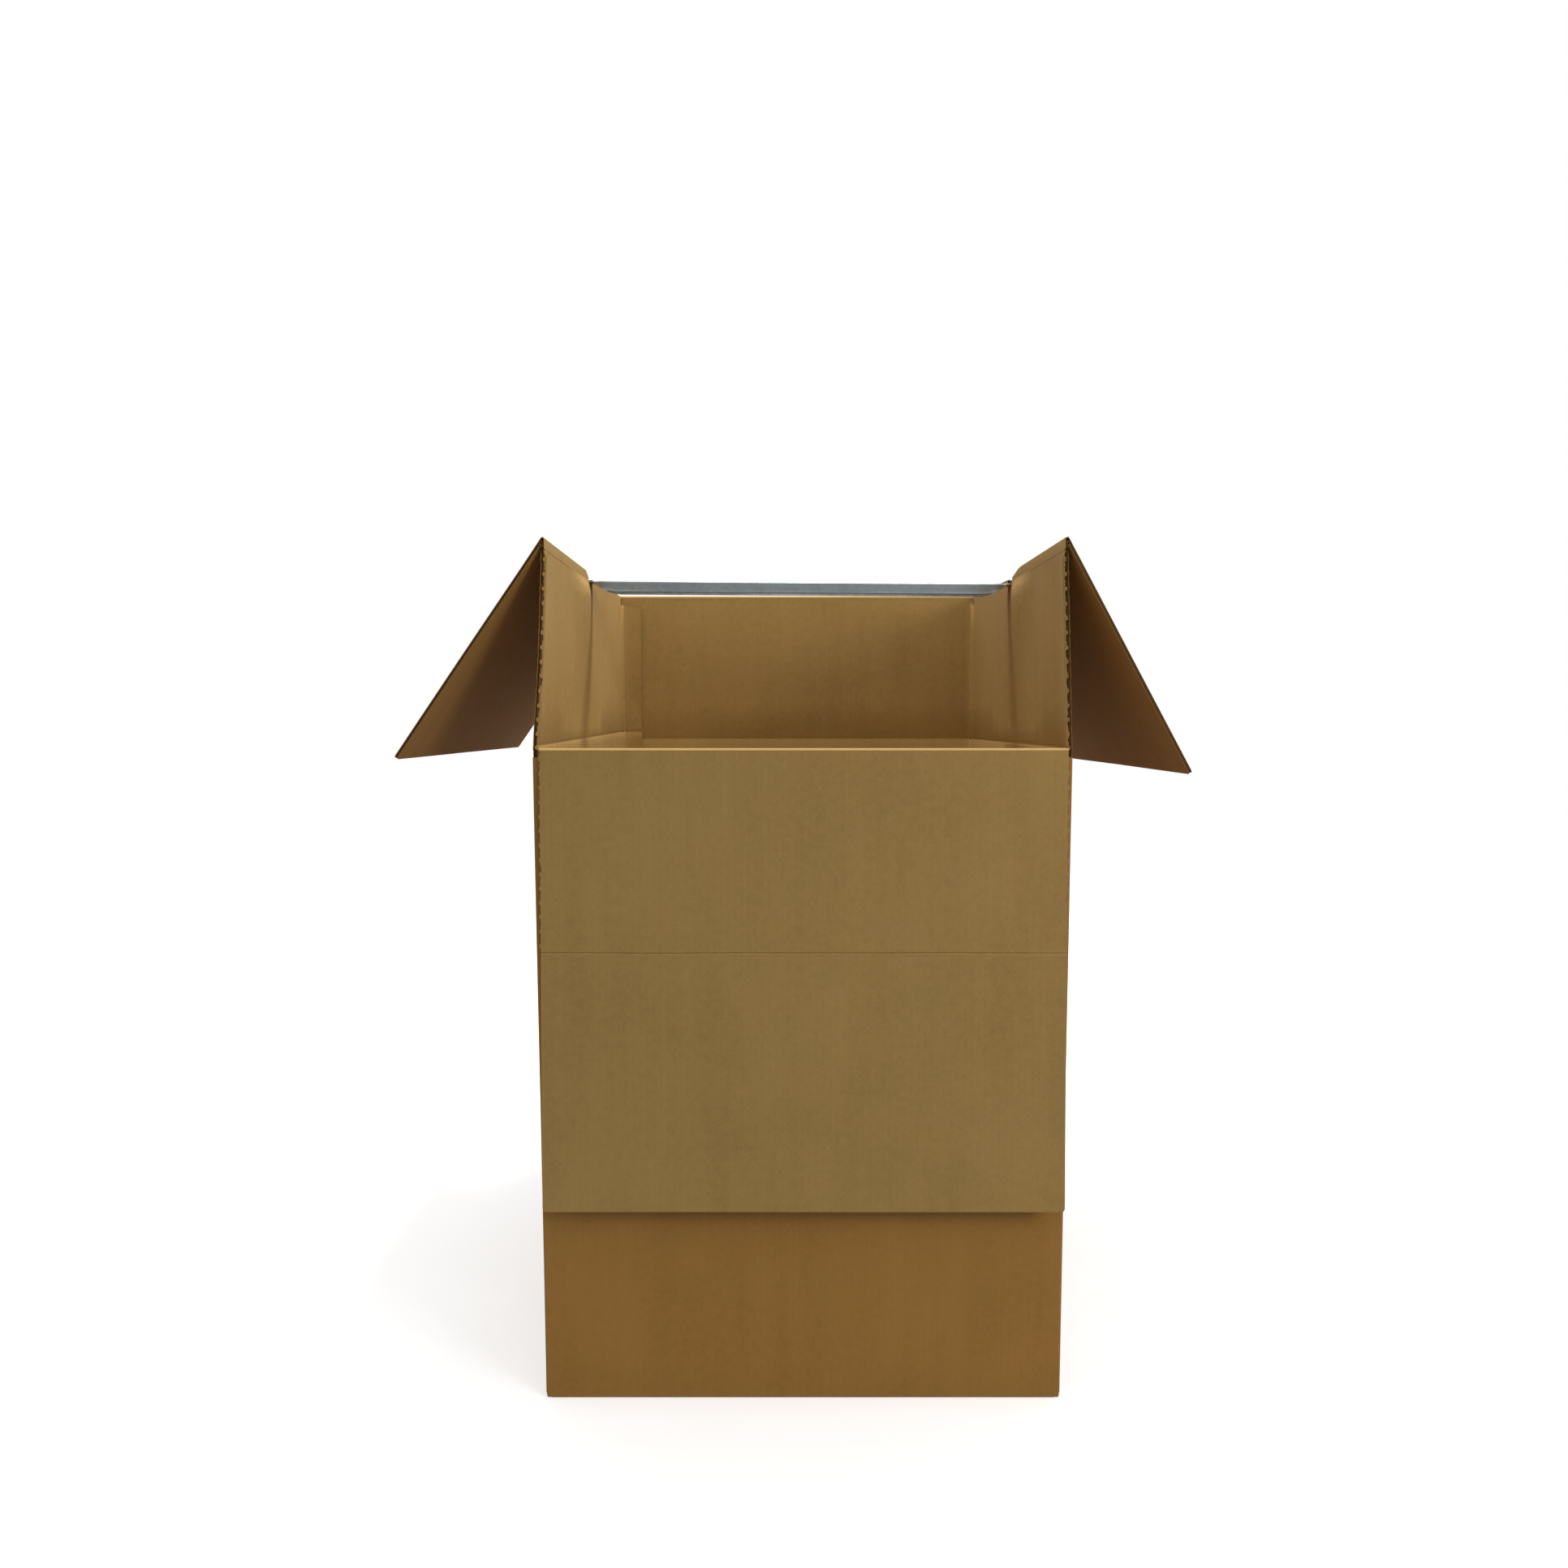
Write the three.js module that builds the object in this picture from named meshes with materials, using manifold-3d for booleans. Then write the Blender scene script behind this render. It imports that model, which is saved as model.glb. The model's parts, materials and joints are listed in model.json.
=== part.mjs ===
// A wardrobe moving carton: one sheet of single-wall corrugated board folded into a tall box, with
// a drop-down front panel, four top flaps and a light steel rail that hooks over the side walls.
// Millimetres, +Z up. The origin is the centre of the base, on the floor. The front faces -Y.

import * as THREE from 'three';
import { mergeVertices } from 'three/addons/utils/BufferGeometryUtils.js';
import Module from 'manifold-3d';

const wasm = await Module();
wasm.setup();

// Driving sizes of the carton.
const insideWidth = 610; // between the side walls, 24 in
const insideDepth = 610; // from the front to the back, 24 in
const closedHeight = 1016; // floor to the top of the closed outer flaps, 40 in
const board = 4; // thickness of the corrugated board
const layerGap = 0.3; // air between two layers of board that lie on each other
const foldGap = 0.35; // from a fold's axis to the board on each side of it
const seam = 6; // gap where two top flaps meet in the middle
const bottomSeam = 2; // the same under the carton
const cornerRadius = 3.5; // outside radius of the upright folds
const foldRadius = 3; // outside radius of the level folds

// The drop-down front.
const doorLine = 779; // height of the fold that the front panel hangs from
const tearInset = 2; // from the inside of a side wall to the panel's torn side
const reliefDepth = 8; // how far the cut at each front corner reaches below the fold
const perforationPitch = 16.5; // from one torn tie to the next
const tieHeight = 4.5; // height of a torn tie
const tieStand = 1.5; // how far a torn tie stands out
const doorHang = 2.4; // degrees that the hanging front stands off the wall

// The top and bottom flaps.
const flapInset = 2.5; // from a flap's end to the inside of the wall beside it
const leftHang = 34.7; // degrees from straight down, outwards
const rightHang = 28.9;
const backHang = 30;
const flapCorner = 4; // radius of a flap's free corners

// The side walls, which give where the rail pulls on them.
const leanLeft = 10.5; // how far the front top corner has moved in
const leanRight = 9.1;
const pinchLeft = 7; // height of the ridge in front of the rail
const pinchRight = 4.5;
const ridgeOffset = 45; // from the rail's line forward to the ridge, near the top
const ridgeRise = 115; // length of the slope in front of the ridge
const ridgeFall = 95; // length of the step behind it
const ridgePeak = 0.89; // height of the ridge's strongest point, from crease to top

// The glue tab and the creases on the inner face.
const tabWidth = 35;
const tabFoot = 20; // height of the tab's lower end
const tabSlope = 6; // how much lower its free edge is at the top
const creaseDepth = 0.7;
const creaseWidth = 6;
const creaseBack = 775.5;
const creaseTab = 788;
const creaseLeft = [784, 787]; // at the front, at the back
const creaseRight = [782, 775];

// The rail.
const railWidth = 38;
const railHeight = 15;
const railGauge = 1;
const railBend = 2.5; // outside radius between its top and its sides
const railLip = 4; // height of the flared lower edge
const railFlare = 1.4; // how far that edge stands out
const railDrop = 4; // how much lower its right end sits
const railSweepStart = 248; // where the sides start to sweep up, from the middle
const railSweepEnd = 293; // where they run out into the top
const hookWidth = 30;
const hookLength = 22; // how far the hook reaches down outside the wall
const hookBend = 0.6; // inside radius of the hook
const hookClearance = 0.4;
const notchWidth = 38; // cut in the wall's edge and in the flap's root
const notchReach = 30; // how far the cut reaches into the flap

// Worked out from them.
const halfWidth = insideWidth / 2 + board;
const halfDepth = insideDepth / 2 + board;
const sideFloor = board + layerGap; // underside of the inner bottom flaps
const sideTop = closedHeight - board - layerGap; // fold of the side flaps, which close first
const doorTop = closedHeight - board; // fold of the front flap
const doorWidth = insideWidth - 2 * tearInset; // between the torn perforations
const frontEdge = insideDepth / 2 - layerGap; // the side walls' torn front edges
const railTop = sideTop - board - layerGap - railDrop / 2; // at its middle
const railSpan = insideWidth / 2; // from the middle to a wall, for the tilt
const railTilt = Math.asin(railDrop / 2 / railSpan);
const radians = Math.PI / 180;

const axisX = new THREE.Vector3(1, 0, 0);
const axisY = new THREE.Vector3(0, 1, 0);
const axisZ = new THREE.Vector3(0, 0, 1);

// Solids

function solidOf(geometry) {
  const bare = new THREE.BufferGeometry();
  bare.setAttribute('position', geometry.getAttribute('position'));
  if (geometry.index) bare.setIndex(geometry.index);
  const merged = mergeVertices(bare, 1e-4);
  return new wasm.Manifold(new wasm.Mesh({
    numProp: 3,
    vertProperties: new Float32Array(merged.getAttribute('position').array),
    triVerts: new Uint32Array(merged.index.array),
  }));
}

function geometryOf(solid) {
  const mesh = solid.getMesh();
  const geometry = new THREE.BufferGeometry();
  geometry.setAttribute('position', new THREE.BufferAttribute(mesh.vertProperties, 3));
  geometry.setIndex(new THREE.BufferAttribute(mesh.triVerts, 1));
  geometry.computeVertexNormals();
  return geometry;
}

const join = (solids) => solids.reduce((whole, solid) => whole.add(solid));
const cut = (solid, tools) => tools.reduce((rest, tool) => rest.subtract(tool), solid);

// A flat outline, drawn along two directions from an origin, pushed out along their cross product.
function prism(shape, length, along, up, origin, curveSegments = 4) {
  const geometry = new THREE.ExtrudeGeometry(shape, {
    depth: length, bevelEnabled: false, steps: 1, curveSegments,
  });
  const out = new THREE.Vector3().crossVectors(along, up);
  geometry.applyMatrix4(new THREE.Matrix4().makeBasis(along, up, out).setPosition(origin));
  return solidOf(geometry);
}

const polygon = (points) => new THREE.Shape(points.map(([u, v]) => new THREE.Vector2(u, v)));

function block(low, high) {
  const size = high.map((value, i) => value - low[i]);
  const geometry = new THREE.BoxGeometry(...size);
  geometry.translate(...low.map((value, i) => value + size[i] / 2));
  return solidOf(geometry);
}

// A rectangle whose two corners at each end are rounded.
function roundedRectangle(u0, u1, v0, v1, lowRadius, highRadius) {
  const shape = new THREE.Shape();
  shape.moveTo(u0 + lowRadius, v0);
  shape.lineTo(u1 - lowRadius, v0);
  if (lowRadius) shape.absarc(u1 - lowRadius, v0 + lowRadius, lowRadius, -Math.PI / 2, 0, false);
  shape.lineTo(u1, v1 - highRadius);
  if (highRadius) shape.absarc(u1 - highRadius, v1 - highRadius, highRadius, 0, Math.PI / 2, false);
  shape.lineTo(u0 + highRadius, v1);
  if (highRadius) shape.absarc(u0 + highRadius, v1 - highRadius, highRadius, Math.PI / 2, Math.PI, false);
  shape.lineTo(u0, v0 + lowRadius);
  if (lowRadius) shape.absarc(u0 + lowRadius, v0 + lowRadius, lowRadius, Math.PI, 1.5 * Math.PI, false);
  return shape;
}

// A sheet between two faces, each given by a point for every column and row.
function formedSheet(columns, rows, faceA, faceB) {
  const positions = [];
  const indices = [];
  for (const face of [faceA, faceB]) {
    for (let j = 0; j < rows; j += 1) {
      for (let i = 0; i < columns; i += 1) positions.push(...face(i, j));
    }
  }
  const at = (face, i, j) => face * rows * columns + j * columns + i;
  const quad = (a, b, c, d) => indices.push(a, b, c, a, c, d);
  for (let j = 0; j < rows - 1; j += 1) {
    for (let i = 0; i < columns - 1; i += 1) {
      quad(at(0, i, j), at(0, i + 1, j), at(0, i + 1, j + 1), at(0, i, j + 1));
      quad(at(1, i, j), at(1, i, j + 1), at(1, i + 1, j + 1), at(1, i + 1, j));
    }
  }
  for (let i = 0; i < columns - 1; i += 1) {
    quad(at(0, i, 0), at(1, i, 0), at(1, i + 1, 0), at(0, i + 1, 0));
    quad(at(0, i, rows - 1), at(0, i + 1, rows - 1), at(1, i + 1, rows - 1), at(1, i, rows - 1));
  }
  for (let j = 0; j < rows - 1; j += 1) {
    quad(at(0, 0, j), at(0, 0, j + 1), at(1, 0, j + 1), at(1, 0, j));
    const i = columns - 1;
    quad(at(0, i, j), at(1, i, j), at(1, i, j + 1), at(0, i, j + 1));
  }
  const geometry = new THREE.BufferGeometry();
  geometry.setAttribute('position', new THREE.Float32BufferAttribute(positions, 3));
  geometry.setIndex(indices);
  return solidOf(geometry);
}

const smooth = (t) => THREE.MathUtils.smoothstep(t, 0, 1);

// How far a side wall has moved in at depth y, from 0 at the crease to 1 at the top.
function wallLean(lean, y) {
  return lean * (insideDepth / 2 - y) / insideDepth;
}

function wallInset(lean, pinch, y, height) {
  const centre = -ridgeOffset * height;
  const across = y < centre
    ? smooth(1 - (centre - y) / ridgeRise)
    : smooth(1 - (y - centre) / ridgeFall);
  const along = height < ridgePeak
    ? smooth(height / ridgePeak)
    : smooth((1 - height) / (1 - ridgePeak));
  return wallLean(lean, y) * height + pinch * across * along;
}

// The carton's one folded sheet

// A side wall with its bottom flap. Side is -1 on the left and 1 on the right.
function sideWall(side, lean, pinch, [creaseFront, creaseRear]) {
  const half = insideDepth / 2;
  const coarse = 5;
  const fine = 18;
  const fineFrom = -ridgeOffset - ridgeRise;
  const fineTo = ridgeFall - ridgeOffset;
  const ys = [];
  for (let i = 0; i < coarse; i += 1) ys.push(THREE.MathUtils.lerp(-half, fineFrom, i / coarse));
  for (let i = 0; i < fine; i += 1) ys.push(THREE.MathUtils.lerp(fineFrom, fineTo, i / fine));
  for (let i = 0; i <= coarse; i += 1) ys.push(THREE.MathUtils.lerp(fineTo, half, i / coarse));

  const upperRows = 11;
  const creaseAt = (y) => THREE.MathUtils.mapLinear(y, -half, half, creaseFront, creaseRear);
  const rows = [
    () => [sideFloor, 0, 0],
    (y) => [creaseAt(y) - creaseWidth / 2, 0, 0],
    (y) => [creaseAt(y), 0, creaseDepth],
  ];
  for (let i = 0; i <= upperRows; i += 1) {
    rows.push((y) => {
      const low = creaseAt(y) + creaseWidth / 2;
      const height = 1 - (1 - i / upperRows) ** 1.5;
      return [THREE.MathUtils.lerp(low, sideTop - foldGap, height), height, 0];
    });
  }
  const point = (face) => (i, j) => {
    const y = ys[i];
    const [z, height, groove] = rows[j](y);
    const inner = face === 1;
    const mitre = inner && j === rows.length - 1 ? board : 0;
    const depth = wallInset(lean, pinch, y, height) + (inner ? board - groove : 0);
    return [side * (halfWidth - depth), y, z - mitre];
  };
  const faces = side > 0 ? [point(0), point(1)] : [point(1), point(0)];
  const wall = formedSheet(ys.length, rows.length, ...faces);

  const flapHalf = insideDepth / 2 - flapInset;
  const across = [side * bottomSeam / 2, side * halfWidth].sort((a, b) => a - b);
  const flap = block([across[0], -flapHalf, sideFloor], [across[1], flapHalf, sideFloor + board]);

  const far = halfWidth + board;
  const near = halfWidth - board - lean - pinch - board;
  const xs = [side * near, side * far].sort((a, b) => a - b);
  const relief = doorLine - reliefDepth;
  const tools = [block([xs[0], -halfDepth, relief], [xs[1], -frontEdge, closedHeight])];
  for (let z = doorLine; z < sideTop - tieHeight; z += perforationPitch) {
    tools.push(block(
      [xs[0], -halfDepth, z + tieHeight],
      [xs[1], -frontEdge + tieStand, Math.min(z + perforationPitch, closedHeight)],
    ));
  }
  const seat = railTop - side * railDrop / 2 - railGauge - layerGap;
  tools.push(block([xs[0], -notchWidth / 2, seat], [xs[1], notchWidth / 2, closedHeight]));
  return cut(wall, tools).add(flap);
}

// A front or back wall's section, drawn outwards and up, with its lower fold and the flap under it.
function wallSection(top, finishTop, flapEnd) {
  const shape = new THREE.Shape();
  shape.moveTo(halfDepth, foldRadius);
  finishTop(shape, top);
  shape.lineTo(insideDepth / 2, flapEnd < insideDepth / 2 ? board : 0);
  if (flapEnd < insideDepth / 2) {
    shape.lineTo(flapEnd, board);
    shape.lineTo(flapEnd, 0);
  }
  shape.lineTo(halfDepth - foldRadius, 0);
  shape.absarc(halfDepth - foldRadius, foldRadius, foldRadius, -Math.PI / 2, 0, false);
  return shape;
}

const squareTop = (shape, top) => {
  shape.lineTo(halfDepth, top);
  shape.lineTo(insideDepth / 2, top);
};

const roundTop = (shape, top) => {
  const centre = insideDepth / 2 + foldRadius;
  shape.lineTo(halfDepth, top);
  shape.lineTo(centre, top);
  shape.absarc(centre, top - foldRadius, foldRadius, Math.PI / 2, Math.PI, false);
};

const mitredTop = (shape, top) => {
  shape.lineTo(halfDepth, top);
  shape.lineTo(insideDepth / 2, top - board);
};

// Pushes a section along X. Side is -1 for the front and 1 for the back.
const alongX = (shape, width, side) => prism(
  shape, width, axisY.clone().multiplyScalar(side), axisZ,
  new THREE.Vector3(-side * width / 2, 0, 0),
);

// A shallow groove pressed into an inner face at depth y.
const creaseGroove = (x0, x1, y, z) => prism(
  polygon([
    [y - 1, z - creaseWidth / 2], [y, z - creaseWidth / 2],
    [y + creaseDepth, z], [y, z + creaseWidth / 2], [y - 1, z + creaseWidth / 2],
  ]),
  x1 - x0, axisY, axisZ, new THREE.Vector3(x0, 0, 0),
);

function cartonBody() {
  const endWidth = insideWidth - 2 * flapInset;
  const middle = bottomSeam / 2;
  const noFlap = insideDepth / 2;
  const backTop = closedHeight - foldGap;
  const tabEdge = -insideWidth / 2 + tabWidth;
  const tabTop = sideTop - board - 2;

  const frontWall = alongX(wallSection(doorLine - foldGap, roundTop, middle), doorWidth, -1);
  const frontCorners = alongX(
    wallSection(doorLine - reliefDepth, squareTop, noFlap), 2 * halfWidth, -1,
  );
  const backFlap = alongX(wallSection(backTop, mitredTop, middle), endWidth, 1);
  const backWall = alongX(wallSection(backTop, mitredTop, noFlap), 2 * halfWidth, 1);
  const tab = prism(
    polygon([
      [-halfWidth + 1, tabFoot],
      [tabEdge, tabFoot + tabSlope],
      [tabEdge, tabTop - tabSlope],
      [-halfWidth + 1, tabTop],
    ]),
    board, axisX, axisZ, new THREE.Vector3(0, insideDepth / 2, 0),
  );
  const whole = join([
    frontCorners, frontWall, backWall, backFlap, tab,
    sideWall(-1, leanLeft, pinchLeft, creaseLeft),
    sideWall(1, leanRight, pinchRight, creaseRight),
  ]);
  const grooves = [
    creaseGroove(tabEdge, insideWidth / 2, insideDepth / 2, creaseBack),
    creaseGroove(-insideWidth / 2, tabEdge, insideDepth / 2 - board, creaseTab),
  ];
  const roundPlan = roundedRectangle(
    -halfWidth, halfWidth, -halfDepth, halfDepth, cornerRadius, cornerRadius,
  );
  return cut(whole, grooves).intersect(
    prism(roundPlan, closedHeight, axisX, axisY, new THREE.Vector3()),
  );
}

// The front panel, closed and upright. Its torn sides carry the other halves of the ties.
function frontDoor() {
  const half = doorWidth / 2;
  const low = doorLine + foldGap;
  const high = doorTop - layerGap / 2;
  const points = [];
  for (let z = doorLine + reliefDepth / 2; z < doorTop - tieHeight; z += perforationPitch) {
    points.push([half - tieStand, z], [half, z], [half, z + tieHeight], [half - tieStand, z + tieHeight]);
  }
  const foot = [[half, low], [half, low + tieStand], [half - tieStand, low + tieStand]];
  const right = [...foot, ...points, [half - tieStand, high]];
  const left = right.map(([u, v]) => [-u, v]).reverse();
  const panel = prism(
    polygon([...right, ...left]), board, axisX, axisZ, new THREE.Vector3(0, -insideDepth / 2, 0),
  );
  const rounding = new THREE.Shape();
  rounding.moveTo(-insideDepth / 2 - foldRadius, low);
  rounding.absarc(
    -insideDepth / 2 - foldRadius, low + foldRadius, foldRadius, -Math.PI / 2, 0, false,
  );
  rounding.lineTo(-insideDepth / 2 + 1, low + foldRadius);
  rounding.lineTo(-insideDepth / 2 + 1, low - 1);
  rounding.lineTo(-insideDepth / 2 - foldRadius, low - 1);
  return panel.subtract(
    prism(rounding, doorWidth + 2, axisY, axisZ, new THREE.Vector3(-half - 1, 0, 0)),
  );
}

// The front top flap, straight on from the closed panel and about to fold in at its top.
function frontTopFlap() {
  const half = insideWidth / 2 - flapInset;
  const length = insideDepth / 2 - seam / 2;
  const low = doorTop + layerGap / 2;
  return prism(
    roundedRectangle(-half, half, low, doorTop + length, 0, flapCorner),
    board, axisX, axisZ, new THREE.Vector3(0, -insideDepth / 2, 0),
  );
}

// A top flap, closed. Its root is mitred along the fold, and its outline is drawn in plan.
function topFlap(fold, outline) {
  const reach = halfWidth + board;
  const root = polygon([
    [foldGap, 0], [foldGap + board, -board], [reach, -board], [reach, 0],
  ]);
  const out = new THREE.Vector3().crossVectors(fold.inward, axisZ);
  const length = 2 * (halfWidth + board);
  const origin = fold.point.clone().addScaledVector(out, -length / 2);
  return prism(root, length, fold.inward, axisZ, origin).intersect(
    prism(outline, 3 * board, axisX, axisY, new THREE.Vector3(0, 0, fold.point.z - 2 * board)),
  );
}

// A side flap's outline in plan, with the opening at its root that the rail's hook passes through.
function sideFlapOutline(side, foldX) {
  const half = insideDepth / 2 - flapInset;
  const free = side * seam / 2;
  const slot = foldX - side * notchReach;
  const root = side * (halfWidth + board);
  return polygon([
    [root, -half], [free + side * flapCorner, -half], [free, -half + flapCorner],
    [free, half - flapCorner], [free + side * flapCorner, half], [root, half],
    [root, notchWidth / 2], [slot, notchWidth / 2], [slot, -notchWidth / 2], [root, -notchWidth / 2],
  ]);
}

// The rail, level, with the middle of its top at the origin: a channel that is open below, whose
// sides sweep up at the ends, where its top runs on over the wall and turns down.
function rail(hookLeft, hookRight) {
  const half = railWidth / 2;
  const section = new THREE.Shape();
  const bendIn = railBend - railGauge;
  const lipTop = -railHeight + railLip;
  section.moveTo(-half - railFlare, -railHeight);
  section.lineTo(-half, lipTop);
  section.lineTo(-half, -railBend);
  section.absarc(-half + railBend, -railBend, railBend, Math.PI, Math.PI / 2, true);
  section.lineTo(half - railBend, 0);
  section.absarc(half - railBend, -railBend, railBend, Math.PI / 2, 0, true);
  section.lineTo(half, lipTop);
  section.lineTo(half + railFlare, -railHeight);
  section.lineTo(half + railFlare - railGauge, -railHeight);
  section.lineTo(half - railGauge, lipTop);
  section.lineTo(half - railGauge, -railBend);
  section.absarc(half - railBend, -railBend, bendIn, 0, Math.PI / 2, false);
  section.lineTo(-half + railBend, -railGauge);
  section.absarc(-half + railBend, -railBend, bendIn, Math.PI / 2, Math.PI, false);
  section.lineTo(-half + railGauge, lipTop);
  section.lineTo(-half - railFlare + railGauge, -railHeight);
  const channel = prism(
    section, 2 * railSweepEnd, axisY, axisZ, new THREE.Vector3(-railSweepEnd, 0, 0),
  );

  const cutterHalf = half + railFlare + 1;
  const ends = [-1, 1].map((side) => {
    const sweep = new THREE.Shape();
    sweep.moveTo(side * railSweepStart, -railHeight - 1);
    sweep.quadraticCurveTo(
      side * (railSweepStart + railSweepEnd) / 2, -railHeight - 1,
      side * railSweepEnd, -railGauge,
    );
    sweep.lineTo(side * (railSweepEnd + 1), -railGauge);
    sweep.lineTo(side * (railSweepEnd + 1), -railHeight - 1);
    return prism(sweep, 2 * cutterHalf, axisX, axisZ, new THREE.Vector3(0, cutterHalf, 0), 8);
  });

  const hooks = [[-1, hookLeft], [1, hookRight]].map(([side, inner]) => {
    const bend = hookBend + railGauge;
    const centre = inner - hookBend;
    const strap = new THREE.Shape();
    const turns = 4;
    const arc = (radius, index) => {
      const angle = Math.PI / 2 * index / turns;
      return [side * (centre + radius * Math.sin(angle)), -bend + radius * Math.cos(angle)];
    };
    strap.moveTo(side * railSweepStart, 0);
    for (let i = 0; i <= turns; i += 1) strap.lineTo(...arc(bend, i));
    strap.lineTo(side * (inner + railGauge), -hookLength);
    strap.lineTo(side * inner, -hookLength);
    for (let i = turns; i >= 0; i -= 1) strap.lineTo(...arc(hookBend, i));
    strap.lineTo(side * railSweepStart, -railGauge);
    return prism(strap, hookWidth, axisX, axisZ, new THREE.Vector3(0, hookWidth / 2, 0));
  });
  return join([cut(channel, ends), ...hooks]);
}

// The assembly

const kraftInside = { color: 0x9c7a4b, roughness: 0.86, metalness: 0 };
const kraftOutside = { color: 0x8c6434, roughness: 0.86, metalness: 0 };
const galvanised = { color: 0x8d9391, roughness: 0.42, metalness: 0.9 };

function piece(name, solid, finish) {
  const material = new THREE.MeshStandardMaterial({ ...finish, flatShading: true });
  const mesh = new THREE.Mesh(geometryOf(solid), material);
  mesh.name = name;
  return mesh;
}

// Holds closed pieces, drawn in the carton's frame, and turns them open about a fold.
function hinge(fold, degrees, pieces) {
  const pivot = new THREE.Group();
  pivot.position.copy(fold.point);
  pivot.quaternion.setFromAxisAngle(fold.axis, degrees * radians);
  for (const item of pieces) {
    item.position.sub(fold.point);
    pivot.add(item);
  }
  return pivot;
}

// The fold of a side flap follows its wall's lean. Its axis closes the flap by the right hand.
function sideFold(side, lean) {
  const slope = new THREE.Vector3(side * lean / insideDepth, 1, 0).normalize();
  const middle = halfWidth - wallLean(lean, 0);
  return {
    point: new THREE.Vector3(side * middle, 0, sideTop),
    axis: slope.clone().multiplyScalar(-side),
    inward: new THREE.Vector3(-side * slope.y, slope.x * side, 0),
  };
}

const leftFold = sideFold(-1, leanLeft);
const rightFold = sideFold(1, leanRight);
const backFold = {
  point: new THREE.Vector3(0, halfDepth, closedHeight),
  axis: axisX,
  inward: axisY.clone().negate(),
};
const doorFold = { point: new THREE.Vector3(0, -halfDepth - foldGap, doorLine), axis: axisX };

const backOutline = roundedRectangle(
  -insideWidth / 2 + flapInset, insideWidth / 2 - flapInset,
  seam / 2, halfDepth + board, flapCorner, 0,
);
const hookReach = (lean) => halfWidth - wallLean(lean, hookWidth / 2) + hookClearance;

const group = new THREE.Group();
group.add(piece('carton_body', cartonBody(), kraftOutside));

group.add(hinge(doorFold, 180 - doorHang, [
  piece('front_door', frontDoor(), kraftInside),
  piece('front_top_flap', frontTopFlap(), kraftInside),
]));
group.add(hinge(leftFold, -(270 - leftHang), [
  piece('left_top_flap', topFlap(leftFold, sideFlapOutline(-1, leftFold.point.x)), kraftInside),
]));
group.add(hinge(rightFold, -(270 - rightHang), [
  piece('right_top_flap', topFlap(rightFold, sideFlapOutline(1, rightFold.point.x)), kraftInside),
]));
group.add(hinge(backFold, -(270 - backHang), [
  piece('back_top_flap', topFlap(backFold, backOutline), kraftInside),
]));

const railMesh = piece('hanger_bar', rail(hookReach(leanLeft), hookReach(leanRight)), galvanised);
railMesh.position.z = railTop;
railMesh.rotation.y = railTilt;
group.add(railMesh);

export default group;
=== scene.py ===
import json
import math

import bpy
from mathutils import Matrix, Vector, noise
from mathutils.geometry import delaunay_2d_cdt


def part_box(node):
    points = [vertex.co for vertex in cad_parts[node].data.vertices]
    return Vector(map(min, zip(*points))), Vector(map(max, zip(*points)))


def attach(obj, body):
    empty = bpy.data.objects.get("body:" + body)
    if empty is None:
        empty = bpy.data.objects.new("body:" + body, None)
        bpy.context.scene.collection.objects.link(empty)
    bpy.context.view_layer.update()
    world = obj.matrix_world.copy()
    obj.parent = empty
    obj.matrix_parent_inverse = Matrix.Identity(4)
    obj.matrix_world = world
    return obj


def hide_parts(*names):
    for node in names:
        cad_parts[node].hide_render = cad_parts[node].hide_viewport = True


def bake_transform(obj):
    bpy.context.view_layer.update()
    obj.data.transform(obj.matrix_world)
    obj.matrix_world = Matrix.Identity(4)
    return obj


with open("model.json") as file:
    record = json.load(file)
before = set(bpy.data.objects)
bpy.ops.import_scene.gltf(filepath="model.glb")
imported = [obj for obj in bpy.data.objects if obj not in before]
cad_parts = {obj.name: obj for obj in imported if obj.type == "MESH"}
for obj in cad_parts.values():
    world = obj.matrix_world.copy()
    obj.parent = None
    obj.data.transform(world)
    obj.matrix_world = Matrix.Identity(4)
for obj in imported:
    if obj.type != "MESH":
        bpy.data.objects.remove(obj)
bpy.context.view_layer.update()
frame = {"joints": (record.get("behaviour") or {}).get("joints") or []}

# Camera. It stands where the photograph was taken from: in front of the carton, a little left of
# its middle, level with the open front, and looks slightly down.
camera_data = bpy.data.cameras.new("camera")
camera_data.lens = 23.51
camera_data.sensor_width = 36.0
camera = bpy.data.objects.new("camera", camera_data)
camera.location = (-0.0228, -1.4828, 0.8266)
camera.rotation_euler = (math.radians(90 - 4.195), 0.0, 0.0)
bpy.context.scene.collection.objects.link(camera)
bpy.context.scene.camera = camera
bpy.context.scene.view_settings.view_transform = "Standard"


# Kraft board. Single-wall corrugated board: two liners of kraft paper with a fluted medium glued
# between them. The outside liner is redder and the inside one yellower, and the flutes telegraph
# through both as a faint washboard.
BOARD = 0.004
LINER = 0.0004
FLUTE_PITCH = 0.0078
FLUTE_GAUGE = 0.00025
FLUTE_SAMPLES = 6
FLUTE_CLEAR, SPAN_LEAST = 0.0002, 0.004
PANEL_NET = 0.03
OUTER, INNER, MEDIUM = 0, 1, 2
OLIVE_TINT = (0.87, 0.95, 0.92, 1.0)


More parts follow.
